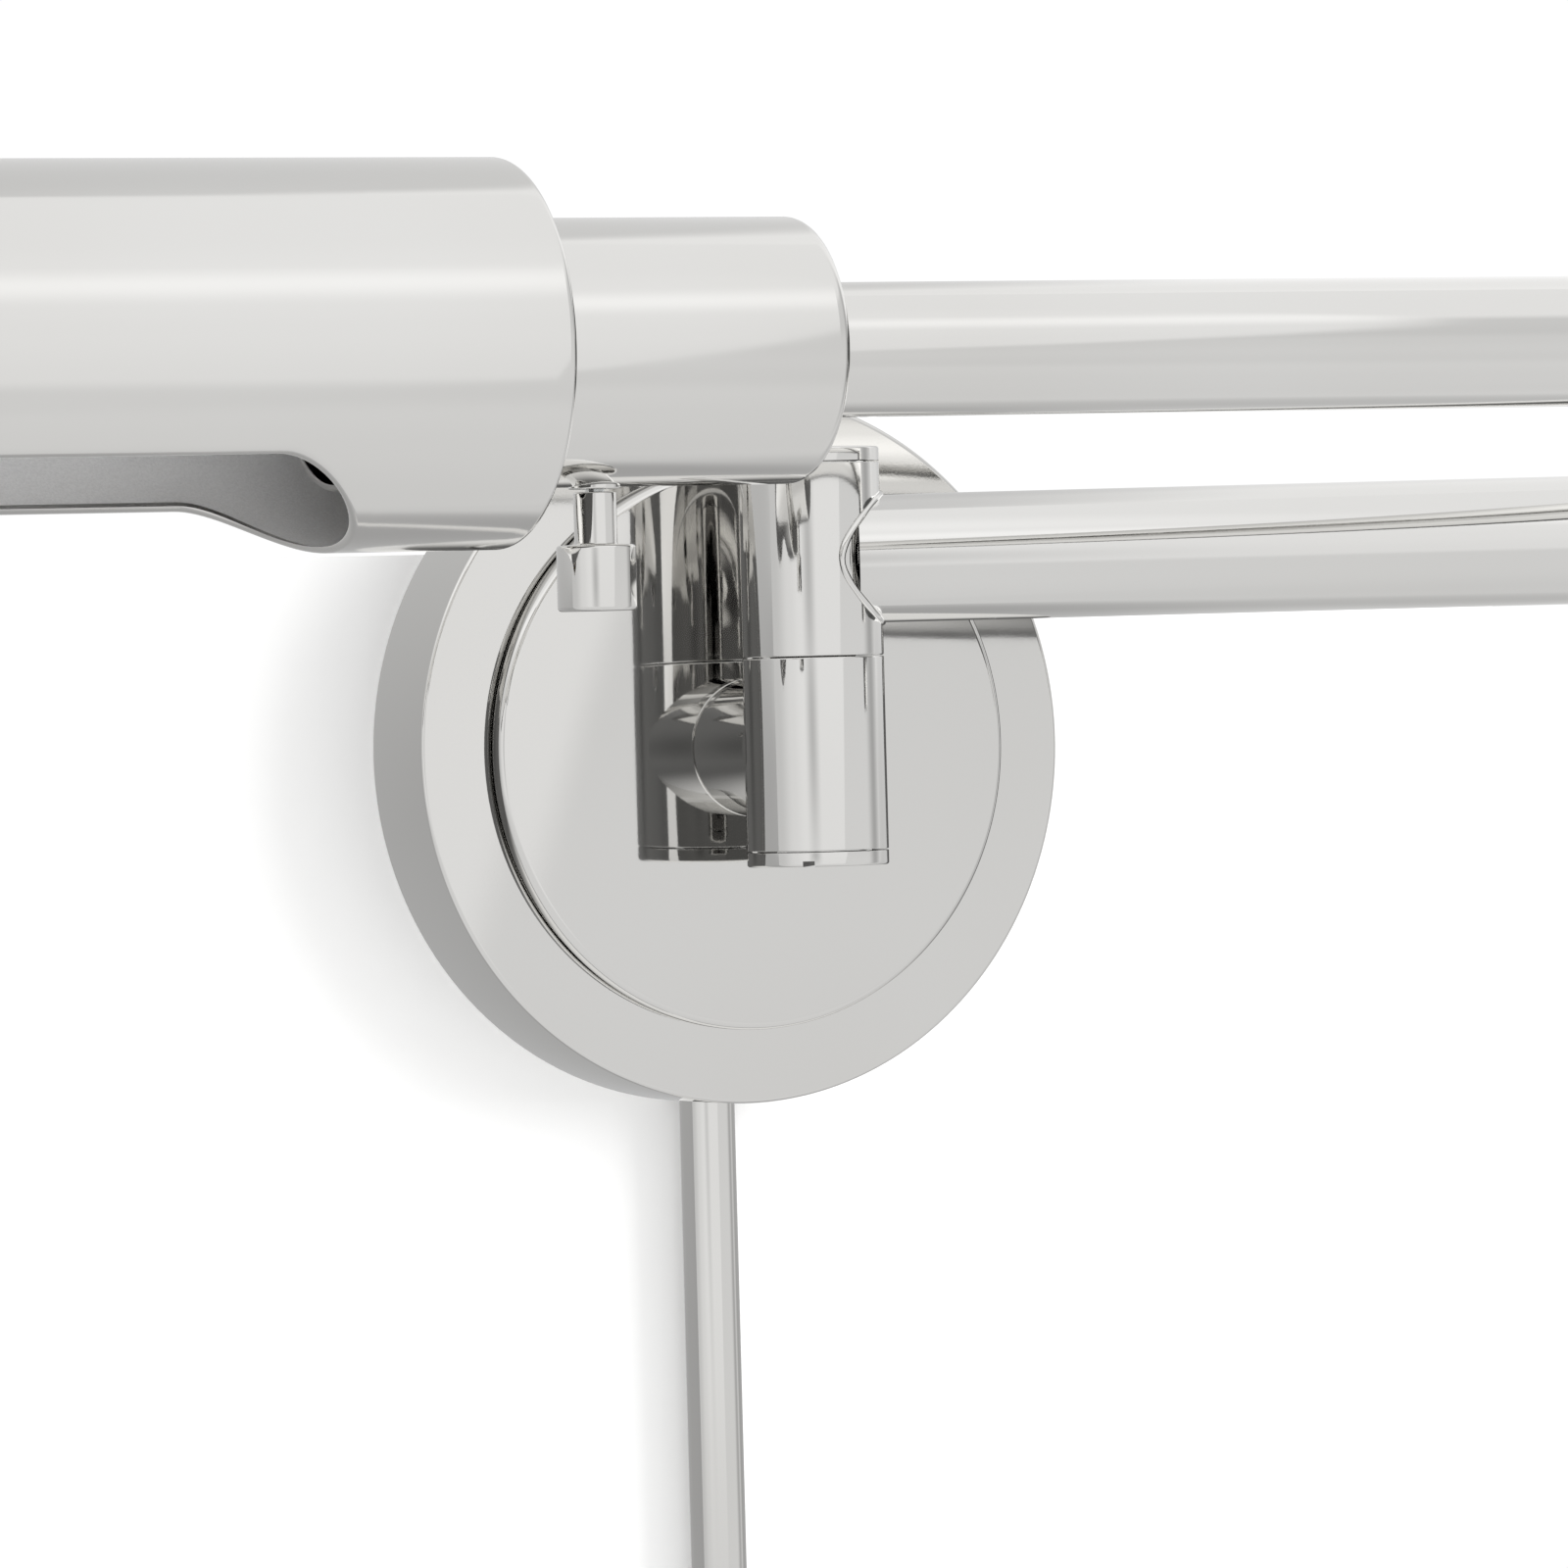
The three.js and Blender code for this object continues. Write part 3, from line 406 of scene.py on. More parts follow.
def carve(piece, cutter_mesh):
    """Takes a closed bmesh away from a piece."""
    bmesh.ops.recalc_face_normals(cutter_mesh, faces=cutter_mesh.faces)
    data = bpy.data.meshes.new("cutter")
    cutter_mesh.to_mesh(data)
    cutter_mesh.free()
    cutter = bpy.data.objects.new("cutter", data)
    bpy.context.scene.collection.objects.link(cutter)
    boolean = piece.modifiers.new("carve", "BOOLEAN")
    boolean.operation = "DIFFERENCE"
    boolean.solver = "EXACT"
    boolean.object = cutter
    bake_modifiers(piece)
    bpy.data.objects.remove(cutter)


def rounded(profile):
    """A profile of (radius, along) or (radius, along, fillet), with its fillets drawn as arcs."""
    out = []
    count = len(profile)
    for i, point in enumerate(profile):
        here = Vector(point[:2])
        fillet = point[2] if len(point) > 2 else 0
        if not fillet:
            out.append(here)
            continue
        before = (Vector(profile[i - 1][:2]) - here).normalized()
        after = (Vector(profile[(i + 1) % count][:2]) - here).normalized()
        half = before.angle(after) / 2
        reach = fillet / math.tan(half)
        centre = here + (before + after).normalized() * (fillet / math.sin(half))
        start = here + before * reach - centre
        end = here + after * reach - centre
        swing = start.angle_signed(end)
        steps = 7
        for k in range(steps + 1):
            angle = -swing * k / steps
            turned = Matrix.Rotation(angle, 2) @ start
            out.append(centre + turned)
    return out


def lathe(profile, segments=ROUND, closed=True):
    """A bmesh turned about X from (radius, along[, fillet]) points; closed joins the ends."""
    points = rounded(profile)
    mesh = bmesh.new()
    rings = []
    for radius, along in points:
        if radius < 1e-7:
            rings.append([mesh.verts.new((along, 0, 0))])
            continue
        rings.append([
            mesh.verts.new((
                along, radius * math.cos(TURN * k / segments), radius * math.sin(TURN * k / segments),
            ))
            for k in range(segments)
        ])
    pairs = list(zip(rings, rings[1:]))
    if closed and len(rings[0]) > 1 and len(rings[-1]) > 1:
        pairs.append((rings[-1], rings[0]))
    for first, second in pairs:
        if len(first) == 1 and len(second) == 1:
            continue
        for k in range(segments):
            j = (k + 1) % segments
            corners = [first[k % len(first)], first[j % len(first)],
                       second[j % len(second)], second[k % len(second)]]
            unique = list(dict.fromkeys(corners))
            if len(unique) > 2:
                mesh.faces.new(unique)
    return mesh


def turned_piece(name, profile, at, material, body, nodes=(), segments=ROUND):
    return finish_mesh(name, lathe(profile, segments), [material], body, nodes, at)


def sweep(points, radius, sides=12, closed=False):
    """A bmesh tube along points; radius may be a number or a function of the place, 0 to 1."""
    mesh = bmesh.new()
    count = len(points)
    rings = []
    side = None
    for i, point in enumerate(points):
        ahead = points[(i + 1) % count] if closed or i < count - 1 else points[i]
        behind = points[i - 1] if closed or i else points[i]
        tangent = (ahead - behind).normalized()
        if side is None:
            side = tangent.orthogonal().normalized()
        side = (side - tangent * side.dot(tangent)).normalized()
        other = tangent.cross(side)
        width = radius(i / (count - 1)) if callable(radius) else radius
        rings.append([
            mesh.verts.new(
                point + width * (math.cos(TURN * k / sides) * side + math.sin(TURN * k / sides) * other)
            )
            for k in range(sides)
        ])
    pairs = list(zip(rings, rings[1:]))
    for first, second in pairs:
        for k in range(sides):
            j = (k + 1) % sides
            mesh.faces.new((first[k], first[j], second[j], second[k]))
    if closed:
        offset = min(range(sides), key=lambda k: (rings[0][k].co - rings[-1][0].co).length)
        for k in range(sides):
            j = (k + 1) % sides
            mesh.faces.new((
                rings[-1][k], rings[-1][j], rings[0][(j + offset) % sides], rings[0][(k + offset) % sides],
            ))
    else:
        mesh.faces.new(rings[0])
        mesh.faces.new(list(reversed(rings[-1])))
    return mesh


def about_z(x, y, z):
    """Frame whose X points up, for pieces turned about an upright axis."""
    return frame_at((x, y, z), (0, 0, 1), (1, 0, 0))


# ---------------------------------------------------------------- canopy

def cover_notch():
    """U-shaped solid round the cord cover where it passes the canopy's rim, open to the wall."""
    clearance = 0.35 * MM
    past_wall = 5 * MM
    arc_steps = 32
    bottom = -CANOPY_RADIUS - 5 * MM
    top = -CANOPY_RADIUS + 8 * MM
    centre = middle("cord_cover_tube")
    radius = size("cord_cover_tube").x / 2 + clearance
    outline = [(centre.x - radius, past_wall)]
    for k in range(arc_steps + 1):
        angle = math.pi * k / arc_steps
        outline.append((centre.x - radius * math.cos(angle), centre.y - radius * math.sin(angle)))
    outline.append((centre.x + radius, past_wall))
    mesh = bmesh.new()
    low_ring = [mesh.verts.new((x, y, bottom)) for x, y in outline]
    high_ring = [mesh.verts.new((x, y, top)) for x, y in outline]
    count = len(outline)
    for k in range(count):
        near = (k + 1) % count
        mesh.faces.new((low_ring[k], low_ring[near], high_ring[near], high_ring[k]))
    mesh.faces.new(low_ring[::-1])
    mesh.faces.new(high_ring)
    return mesh


def build_canopy():
    rim = 0.9 * MM
    wall = 1.6 * MM
    hole = 5.2 * MM
    plate = turned_piece("canopy_plate", [
        (hole, CANOPY_DEPTH),
        (CANOPY_RADIUS, CANOPY_DEPTH, rim),
        (CANOPY_RADIUS, 0, 0.3 * MM),
        (CANOPY_RADIUS - wall, 0, 0.3 * MM),
        (CANOPY_RADIUS - wall, CANOPY_DEPTH - wall, 1.2 * MM),
        (hole, CANOPY_DEPTH - wall),
    ], WALL_SIDE, NICKEL, "wall_base", ["canopy"], WIDE)
    carve(plate, cover_notch())
    back = CANOPY_DEPTH + 0.25 * MM
    groove_floor = DISC_RADIUS - 1.1 * MM
    groove_front = back + 0.9 * MM
    turned_piece("canopy_disc", [
        (hole, back),
        (groove_floor, back),
        (groove_floor, groove_front, 0.2 * MM),
        (DISC_RADIUS, groove_front, 0.4 * MM),
        (DISC_RADIUS, DISC_FACE, 1.5 * MM),
        (hole, DISC_FACE),
    ], WALL_SIDE, NICKEL, "wall_base", ["centre_disc"], WIDE)
    bore = 3.6 * MM
    start = DISC_FACE + 0.1 * MM
    end = -WALL_KNUCKLE.y - 4 * MM
    turned_piece("stub", [
        (bore, start),
        (STUB_RADIUS, start, 0.5 * MM),
        (STUB_RADIUS, end),
        (bore, end),
    ], WALL_SIDE, NICKEL, "wall_base", ["wall_stub"], FINE)


# ---------------------------------------------------------------- knuckles

def barrel(name, centre, body, node, seam_side):
    """One barrel: a tight bevel at the seam, a finer one at the cap."""
    half = HALF_PITCH - 0.12 * MM
    bore = 10.4 * MM
    seam = 0.28 * MM
    plain = 0.12 * MM
    turned_piece(name, [
        (bore, -half),
        (KNUCKLE_RADIUS, -half, seam if seam_side < 0 else plain),
        (KNUCKLE_RADIUS, half, seam if seam_side > 0 else plain),
        (bore, half),
    ], about_z(*centre), NICKEL, body, [node])


def cap(name, centre, body, node, side):
    """A barrel's cap: a thin disc with a fine shadow groove, and a coin slot in the lower ones."""
    groove = 0.25 * MM
    inner = HALF_PITCH + groove * 0.2
    outer = CAP_FACE + CAP_THICKNESS
    spigot = 9.9 * MM
    spigot_end = inner - 3 * MM
    profile = [
        (0, side * spigot_end),
        (spigot, side * spigot_end),
        (spigot, side * inner),
        (KNUCKLE_RADIUS, side * (inner + groove * 0.4), 0.12 * MM),
        (KNUCKLE_RADIUS, side * outer, 0.45 * MM),
        (0, side * outer),
    ]
    mesh = lathe(profile, FINE)
    piece = finish_mesh(name, mesh, [NICKEL], body, [node], about_z(*centre))
    if side > 0:
        return piece
    coin_slot = bmesh.new()
    slot_size = (60 * MM, 2.1 * MM, 2 * MM)
    bmesh.ops.create_cube(coin_slot, size=1, matrix=(
        Matrix.Translation((centre[0], centre[1], centre[2] - outer))
        @ Matrix.Rotation(slot_angle(body), 4, "Z")
        @ Matrix.Diagonal((*slot_size, 1))
    ))
    carve(piece, coin_slot)
    return piece


def slot_angle(body):
    """The coin slot's turn, kept the same to whatever the cap rides on."""
    lean = 0 if body == "wall_base" else math.atan2(INNER_DIRECTION.y, INNER_DIRECTION.x)
    return math.radians(55) + lean


def build_knuckles():
    wall = (WALL_KNUCKLE.x, WALL_KNUCKLE.y)
    elbow = (ELBOW.x, ELBOW.y)
    lower = WALL_KNUCKLE.z - HALF_PITCH
    barrel("wall_lower_barrel", (*wall, lower), "wall_base", "wall_knuckle_lower_barrel", 1)
    cap("wall_lower_cap", (*wall, lower), "wall_base", "wall_knuckle_bottom_cap", -1)
    barrel("wall_upper_barrel", (*wall, INNER_HEIGHT), "inner_arm", "wall_knuckle_upper_barrel", -1)
    cap("wall_upper_cap", (*wall, INNER_HEIGHT), "inner_arm", "wall_knuckle_top_cap", 1)
    barrel("elbow_lower", (*elbow, INNER_HEIGHT), "inner_arm", "elbow_lower_barrel", 1)
    cap("elbow_lower_cap", (*elbow, INNER_HEIGHT), "inner_arm", "elbow_bottom_cap", -1)
    barrel("elbow_upper", (*elbow, OUTER_HEIGHT), "outer_arm", "elbow_upper_barrel", -1)
    cap("elbow_upper_cap", (*elbow, OUTER_HEIGHT), "outer_arm", "elbow_top_cap", 1)


# ---------------------------------------------------------------- arms

def saddle(side):
    """Points where an arm's outside meets a barrel's, in the arm's frame, about the barrel."""
    points = []
    steps = 72
    for k in range(steps):
        angle = TURN * k / steps
        y = ARM_RADIUS * math.cos(angle)
        z = ARM_RADIUS * math.sin(angle)
        points.append(Vector((side * math.sqrt(KNUCKLE_RADIUS ** 2 - y * y), y, z)))
    return points


def weld(name, points, radius, at, body):
    """A slim uneven bead of weld along a closed line of points."""
    count = len(points)
    uneven = [
        1 + 0.10 * math.sin(5 * TURN * i / count) + 0.07 * math.sin(13 * TURN * i / count + 1)
        for i in range(count)
    ]
    mesh = sweep(points, lambda t: radius * uneven[min(round(t * (count - 1)), count - 1)], 10, True)
    return finish_mesh(name, mesh, [NICKEL], body, (), at, 80)


def build_arms():
    inside = KNUCKLE_RADIUS - 4 * MM
    tube = [(ARM_RADIUS, inside), (ARM_RADIUS, INNER_LENGTH - inside)]
    turned_piece("inner_tube", [
        (ARM_BORE, inside), *tube, (ARM_BORE, INNER_LENGTH - inside),
    ], INNER_ARM, NICKEL, "inner_arm", ["inner_arm_tube"])
    weld("inner_weld_at_wall_knuckle", saddle(1), WELD_RADIUS, INNER_ARM, "inner_arm")
    far = INNER_ARM @ Matrix.Translation((INNER_LENGTH, 0, 0))
    weld("inner_weld_at_elbow", saddle(-1), WELD_RADIUS, far, "inner_arm")
    outer_end = HOUSING_START - 0.05 * MM
    turned_piece("outer_tube", [
        (ARM_BORE, inside),
        (ARM_RADIUS, inside),
        (ARM_RADIUS, outer_end),
        (ARM_BORE, outer_end),
    ], OUTER_ARM, NICKEL, "outer_arm", ["outer_arm_tube"])
    weld("outer_weld_at_elbow", saddle(1), WELD_RADIUS, OUTER_ARM, "outer_arm")
    steps = 72
    ring = [
        Vector((HOUSING_START, ARM_RADIUS * math.cos(TURN * k / steps),
                ARM_RADIUS * math.sin(TURN * k / steps)))
        for k in range(steps)
    ]
    weld("outer_weld_at_housing", ring, HOUSING_WELD_RADIUS, OUTER_ARM, "outer_arm")


# ---------------------------------------------------------------- housing, lampholder, bulb

def build_housing():
    inner = HOUSING_RADIUS - HOUSING_WALL
    hole = 5.3 * MM
    end_inside = HOUSING_START + 1.5 * MM
    lip = 0.35 * MM
    turned_piece("housing", [
        (hole, HOUSING_START),
        (HOUSING_RADIUS, HOUSING_START, 2.6 * MM),
        (HOUSING_RADIUS, HOUSING_END, lip),
        (inner, HOUSING_END, lip),
        (inner, end_inside, 1.4 * MM),
        (hole, end_inside),
    ], OUTER_ARM, NICKEL_SPUN, "outer_arm", ["socket_housing"])
    build_lampholder()
    build_bulb()


def build_lampholder():
    neck_bore = 5.2 * MM
    neck = 9 * MM
    neck_end = 279 * MM
    shoulder = 284 * MM
    cup = 14.9 * MM
    cup_floor = 288 * MM
    contact_hole = 2 * MM
    floor_back = 284.6 * MM
    turned_piece("lampholder", [
        (neck_bore, neck_end),
        (neck, neck_end, 0.5 * MM),
        (neck, shoulder, 0.4 * MM),
        (LAMPHOLDER_RADIUS, shoulder, 2 * MM),
        (LAMPHOLDER_RADIUS, LAMPHOLDER_END, 0.9 * MM),
        (cup, LAMPHOLDER_END, 0.5 * MM),
        (cup, cup_floor),
        (contact_hole, cup_floor),
        (contact_hole, floor_back),
        (neck_bore, floor_back),
    ], OUTER_ARM, PHENOLIC, "outer_arm", ["lampholder_body"], FINE)
    crest = 14.2 * MM
    root = 13.6 * MM
    shell_start = 289 * MM
    shell_end = 313 * MM
    shell = [(14.1 * MM, shell_start)]
    thread(shell, crest, root, shell_start + 1 * MM, shell_end - 1 * MM)
    shell += [(crest, shell_end), (13.7 * MM, shell_end), (root, shell_start)]
    turned_piece("screw_shell", shell, OUTER_ARM, BRASS, "outer_arm",
                 ["lampholder_screw_shell"], FINE)


def build_bulb():
    crest = 13.0 * MM
    root = 12.4 * MM
    tip = 290.4 * MM
    contact = 3 * MM
    cap_end = 315.5 * MM
    cap_profile = [(0, tip), (contact, tip, 0.6 * MM), (4 * MM, tip + 1.2 * MM),
                   (11.6 * MM, tip + 4 * MM, 0.6 * MM)]
    thread(cap_profile, crest, root, tip + 5 * MM, 311 * MM)
    cap_profile += [(crest, 312 * MM), (crest, cap_end), (0, cap_end)]
    turned_piece("bulb_screw_cap", cap_profile, OUTER_ARM, BRASS, "outer_arm",
                 ["bulb_cap"], FINE)
    steps = 16
    flare_start = 318.4 * MM
    flare_length = 13.2 * MM
    glass = [(0, BULB_START), (BULB_NECK, BULB_START, 0.3 * MM)]
    for k in range(steps + 1):
        t = k / steps
        ease = t * t * (3 - 2 * t)
        glass.append((
            BULB_NECK + ease * (BULB_RADIUS - BULB_NECK), flare_start + flare_length * t,
        ))
    for k in range(1, steps + 1):
        angle = QUARTER * k / steps
        glass.append((
            BULB_RADIUS * math.cos(angle), BULB_END - BULB_RADIUS + BULB_RADIUS * math.sin(angle),
        ))
    glass[-1] = (0, BULB_END)
    turned_piece("bulb", glass, OUTER_ARM, OPAL, "outer_arm", ["bulb_glass"], FINE)


def thread(profile, crest, root, start, end):
    """Adds a round thread's outline to a profile."""
    pitch = 3.6 * MM
    steps = 8
    turns = int((end - start) / pitch)
    for k in range(turns * steps + 1):
        wave = 0.5 + 0.5 * math.cos(TURN * k / steps)
        profile.append((root + (crest - root) * wave, start + pitch * k / steps))


# ---------------------------------------------------------------- switch

def build_switch():
    axis = pivot("switch_turn")
    top = OUTER_HEIGHT - HOUSING_RADIUS
    place = about_z(axis.x, axis.y, 0)
    low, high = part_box("switch_knob")
    shaft = 1.9 * MM
    neck = 3.6 * MM
    grip = 6.65 * MM
    shoulder = high.z - 8.8 * MM
    turned_piece("knob", [
        (shaft, high.z - 0.1 * MM),
        (neck, high.z, 0.25 * MM),
        (neck, shoulder, 0.3 * MM),
        (grip, shoulder, 0.55 * MM),
        (grip, low.z, 0.7 * MM),
        (0, low.z),
        (0, shoulder - 1 * MM),
        (shaft, shoulder - 1 * MM),
    ], place, NICKEL, "knob", ["switch_knob"], FINE)
    seat = 4.4 * MM
    seat_top = top + 0.9 * MM
    seat_bottom = top - 0.3 * MM
    turned_piece("knob_seat", [
        (shaft, seat_top),
        (seat, seat_top),
        (seat, seat_bottom, 0.25 * MM),
        (shaft, seat_bottom),
    ], place, NICKEL, "outer_arm", ["switch_bushing"], FINE)


# ---------------------------------------------------------------- shade

def build_shade():
    build_shade_shell()
    rim = SHADE_RADIUS - SHADE_WALL - 0.02 * MM
    inset = 0.1 * MM
    depth = 1.2 * MM
    turned_piece("shade_far_end", [
        (0, SHADE_END - depth),
        (rim, SHADE_END - depth),
        (rim, SHADE_END - inset, 0.3 * MM),
        (0, SHADE_END - inset),
    ], SHADE, NICKEL_SPUN, "shade", ["shade_outer_end"])
    hole = HOUSING_RADIUS + 0.25 * MM
    turned_piece("shade_near_end", [
        (hole, SHADE_START + inset, 0.3 * MM),
        (rim, SHADE_START + inset),
        (rim, SHADE_START + depth),
        (hole, SHADE_START + depth, 0.3 * MM),
    ], SHADE, NICKEL_SPUN, "shade", ["shade_inner_end"])


def shade_stations():
    """Rows of the shade's mesh, the same from both ends.

    Each is (distance, half-angle of the opening, share of the lip's roll, drop of the end's edge).
    """
    start = SHADE_START + OPENING_MARGIN
    end = SHADE_END - OPENING_MARGIN
    half_way = (SHADE_START + SHADE_END) / 2
    edge = 1.6 * MM
    edge_steps = 10
    rows = []
    for k in range(edge_steps - 1, 0, -1):
        angle = QUARTER * k / edge_steps
        rows.append((SHADE_START + edge * (1 - math.sin(angle)), 0, 0, edge * (1 - math.cos(angle))))
    plain_steps = 12
    plain_start = SHADE_START + edge
    for k in range(plain_steps + 1):
        rows.append((plain_start + (start - plain_start) * k / plain_steps, 0, 0, 0))
    nose = 26
    for k in range(1, nose + 1):
        angle = QUARTER * k / nose
        half = math.asin(OPENING_HALF_WIDTH * math.sin(angle) / SHADE_RADIUS)
        rows.append((start + OPENING_NOSE * (1 - math.cos(angle)), half, math.sin(angle) ** 6, 0))
    straight = 40
    length = end - start - 2 * OPENING_NOSE
    widest = math.asin(OPENING_HALF_WIDTH / SHADE_RADIUS)
    for k in range(1, straight):
        rows.append((start + OPENING_NOSE + length * k / straight, widest, 1, 0))
    spare = 0.5 * MM
    mirror = [
        (SHADE_START + SHADE_END - x, half, roll, drop)
        for x, half, roll, drop in rows if x < half_way - spare
    ]
    front = [row for row in rows if row[0] < half_way + spare]
    return front + mirror[::-1]


def build_shade_shell():
    """The tube with its opening: an outer and an inner skin joined by a rolled edge."""
    rows = shade_stations()
    columns = WIDE
    inner_drop = 0.4
    mesh = bmesh.new()
    skins = []
    for depth in (0, SHADE_WALL):
        skin = []
        for x, half, _, drop in rows:
            radius = SHADE_RADIUS - depth - drop * (1 if depth == 0 else inner_drop)
            count = columns if half == 0 else columns + 1
            ring = []
            for k in range(count):
                angle = half + (TURN - 2 * half) * k / columns
                ring.append(mesh.verts.new((x, radius * math.sin(angle), -radius * math.cos(angle))))
            skin.append(ring)
        skins.append(skin)
    for index, skin in enumerate(skins):
        for first, second in zip(skin, skin[1:]):
            for k in range(columns):
                face = mesh.faces.new((
                    first[k], first[(k + 1) % len(first)],
                    second[(k + 1) % len(second)], second[k],
                ))
                face.material_index = index
    for end in (0, -1):
        outer, inner = skins[0][end], skins[1][end]
        for k in range(columns):
            j = (k + 1) % columns
            mesh.faces.new((outer[k], outer[j], inner[j], inner[k]))
    add_lip(mesh, rows, skins)
    finish_mesh("shade_tube", mesh, [NICKEL_SPUN, LINING], "shade",
                ["shade_shell"], SHADE, 50)


def add_lip(mesh, rows, skins):
    """The opening's edge: the wall rolls inwards, wide along the straight sides."""
    open_rows = [i for i, row in enumerate(rows) if row[1] > 0]
    before, after = open_rows[0] - 1, open_rows[-1] + 1
    loop = [(before, 0)] + [(i, 0) for i in open_rows] + [(after, 0)]
    loop += [(i, -1) for i in reversed(open_rows)]
    count = len(loop)
    outer = [skins[0][i][side] for i, side in loop]
    inner = [skins[1][i][side] for i, side in loop]
    roll = [rows[i][2] for i, _ in loop]
    arcs = []
    steps = 6
    tight_bend = SHADE_WALL * 1.05
    wide_bend = 1.7 * MM
    for n in range(count):
        place = outer[n].co
        tangent = (outer[(n + 1) % count].co - outer[n - 1].co).normalized()
        outward = Vector((0, place.y, place.z)).normalized()
        tangent = (tangent - outward * tangent.dot(outward)).normalized()
        inward = tangent.cross(outward)
        centre_line = Vector(((SHADE_START + SHADE_END) / 2, 0, -SHADE_RADIUS))
        if inward.dot(centre_line - place) < 0:
            inward = -inward
        bend = tight_bend + wide_bend * roll[n]
        outer_arc = []
        inner_arc = []
        for k in range(1, steps + 1):
            angle = QUARTER * k / steps
            push = math.sin(angle) * inward + math.cos(angle) * outward
            centre = place - bend * outward
            outer_arc.append(mesh.verts.new(centre + bend * push))
            inner_arc.append(mesh.verts.new(centre + (bend - SHADE_WALL) * push))
        arcs.append((outer_arc, inner_arc))
    for n in range(count):
        m = (n + 1) % count
        outer_a, outer_b = [outer[n], *arcs[n][0]], [outer[m], *arcs[m][0]]
        inner_a, inner_b = [inner[n], *arcs[n][1]], [inner[m], *arcs[m][1]]
        for k in range(steps):
            mesh.faces.new((outer_a[k], outer_b[k], outer_b[k + 1], outer_a[k + 1]))
            face = mesh.faces.new((inner_a[k], inner_b[k], inner_b[k + 1], inner_a[k + 1]))
            face.material_index = 1
        mesh.faces.new((outer_a[-1], outer_b[-1], inner_b[-1], inner_a[-1]))


# ---------------------------------------------------------------- cord cover

def build_cord_cover():
    low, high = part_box("cord_cover_tube")
    centre = (low + high) / 2
    radius = (high.x - low.x) / 2
    bore = radius - 0.7 * MM
    place = about_z(centre.x, centre.y, 0)
    turned_piece("cover_tube", [
        (bore, low.z),
        (radius, low.z, 0.25 * MM),
        (radius, high.z),
        (bore, high.z),
    ], place, NICKEL, "wall_base", ["cord_cover_tube"], FINE)
    cord_hole = 3.1 * MM
    plug = 4.2 * MM
    rim_bottom = low.z - 1.8 * MM
    rim_top = low.z - 0.2 * MM
    plug_top = low.z + 6 * MM
    turned_piece("cover_bushing", [
        (cord_hole, rim_bottom, 0.5 * MM),
        (radius, rim_bottom, 0.6 * MM),
        (radius, rim_top, 0.2 * MM),
        (plug, rim_top),
        (plug, plug_top),
        (cord_hole, plug_top),
    ], place, NYLON, "wall_base", ["cord_cover_bushing"], FINE)


# ---------------------------------------------------------------- inside the canopy

def wire_nut_radius(skirt, t):
    """A wire nut's radius at t, 0 at its mouth to 1 at its top: it tapers, with eased ends."""
    taper = 0.26 * max(0, (t - 0.42) / 0.58)
    easing = max(0, 1 - t / 0.06) + max(0, (t - 0.94) / 0.06)
    return skirt * (1 - taper) - 0.5 * MM * easing


def ribbed_nut(low, high):
    """A wire nut upright between two heights, ribbed but for its two ends."""
    skirt = (high.x - low.x) / 2
    height = high.z - low.z
    sides, levels, ribs = 96, 24, 12
    rib_depth = 0.4 * MM
    mesh = bmesh.new()
    rings = []
    for i in range(levels + 1):
        t = i / levels
        share = 1 if 0.1 < t < 0.9 else 0.2
        radius = wire_nut_radius(skirt, t)
        ring = []
        for k in range(sides):
            angle = TURN * k / sides
            reach = radius - share * rib_depth * (0.5 + 0.5 * math.cos(ribs * angle))
            ring.append(mesh.verts.new(
                (low.z + height * t, reach * math.cos(angle), reach * math.sin(angle))
            ))
        rings.append(ring)
    for first, second in zip(rings, rings[1:]):
        for k in range(sides):
            j = (k + 1) % sides
            mesh.faces.new((first[k], first[j], second[j], second[k]))
    mesh.faces.new(rings[0])
    mesh.faces.new(rings[-1])
    return mesh


def build_wiring():
    lead_radius = 1.0 * MM
    for name, side, look, slot in (
        ("live", 1, JACKET, "cable_jacket"), ("neutral", -1, WHITE_WIRE, "white_wire"),
    ):
        low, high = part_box(f"wire_nut_{name}")
        centre = (low + high) / 2
        finish_mesh(f"wire_nut_{name}_ribbed", ribbed_nut(low, high), [WIRE_NUT], "wall_base",
                    [f"wire_nut_{name}"], about_z(centre.x, centre.y, 0), 60)
        route = [Vector(point) * MM for point in (
            (side * 22, -10.5, -9.7), (side * 22, -10.5, -5), (side * 19, -9, 0.5),
            (side * 12, -7, 2.5), (side * 5.5, -5.9, 1.2), (side * 1.5, -5.6, 0),
        )]
        lead = sweep(smooth_route(route, 10), lead_radius, 16)
        finish_mesh(f"{name}_lead_round", lead, [look], "wall_base", [f"{name}_lead"],
                    Matrix.Identity(4), 60)


def smooth_route(points, steps):
    """Points along a Catmull-Rom curve through the given ones."""
    out = []
    for i in range(len(points) - 1):
        a = points[max(i - 1, 0)]
        b, c = points[i], points[i + 1]
        d = points[min(i + 2, len(points) - 1)]
        for k in range(steps):
            t = k / steps
            out.append(0.5 * (
                2 * b + (c - a) * t + (2 * a - 5 * b + 4 * c - d) * t * t
                + (3 * b - a - 3 * c + d) * t ** 3
            ))
    out.append(points[-1])
    return out


# ---------------------------------------------------------------- CAD nodes that stay

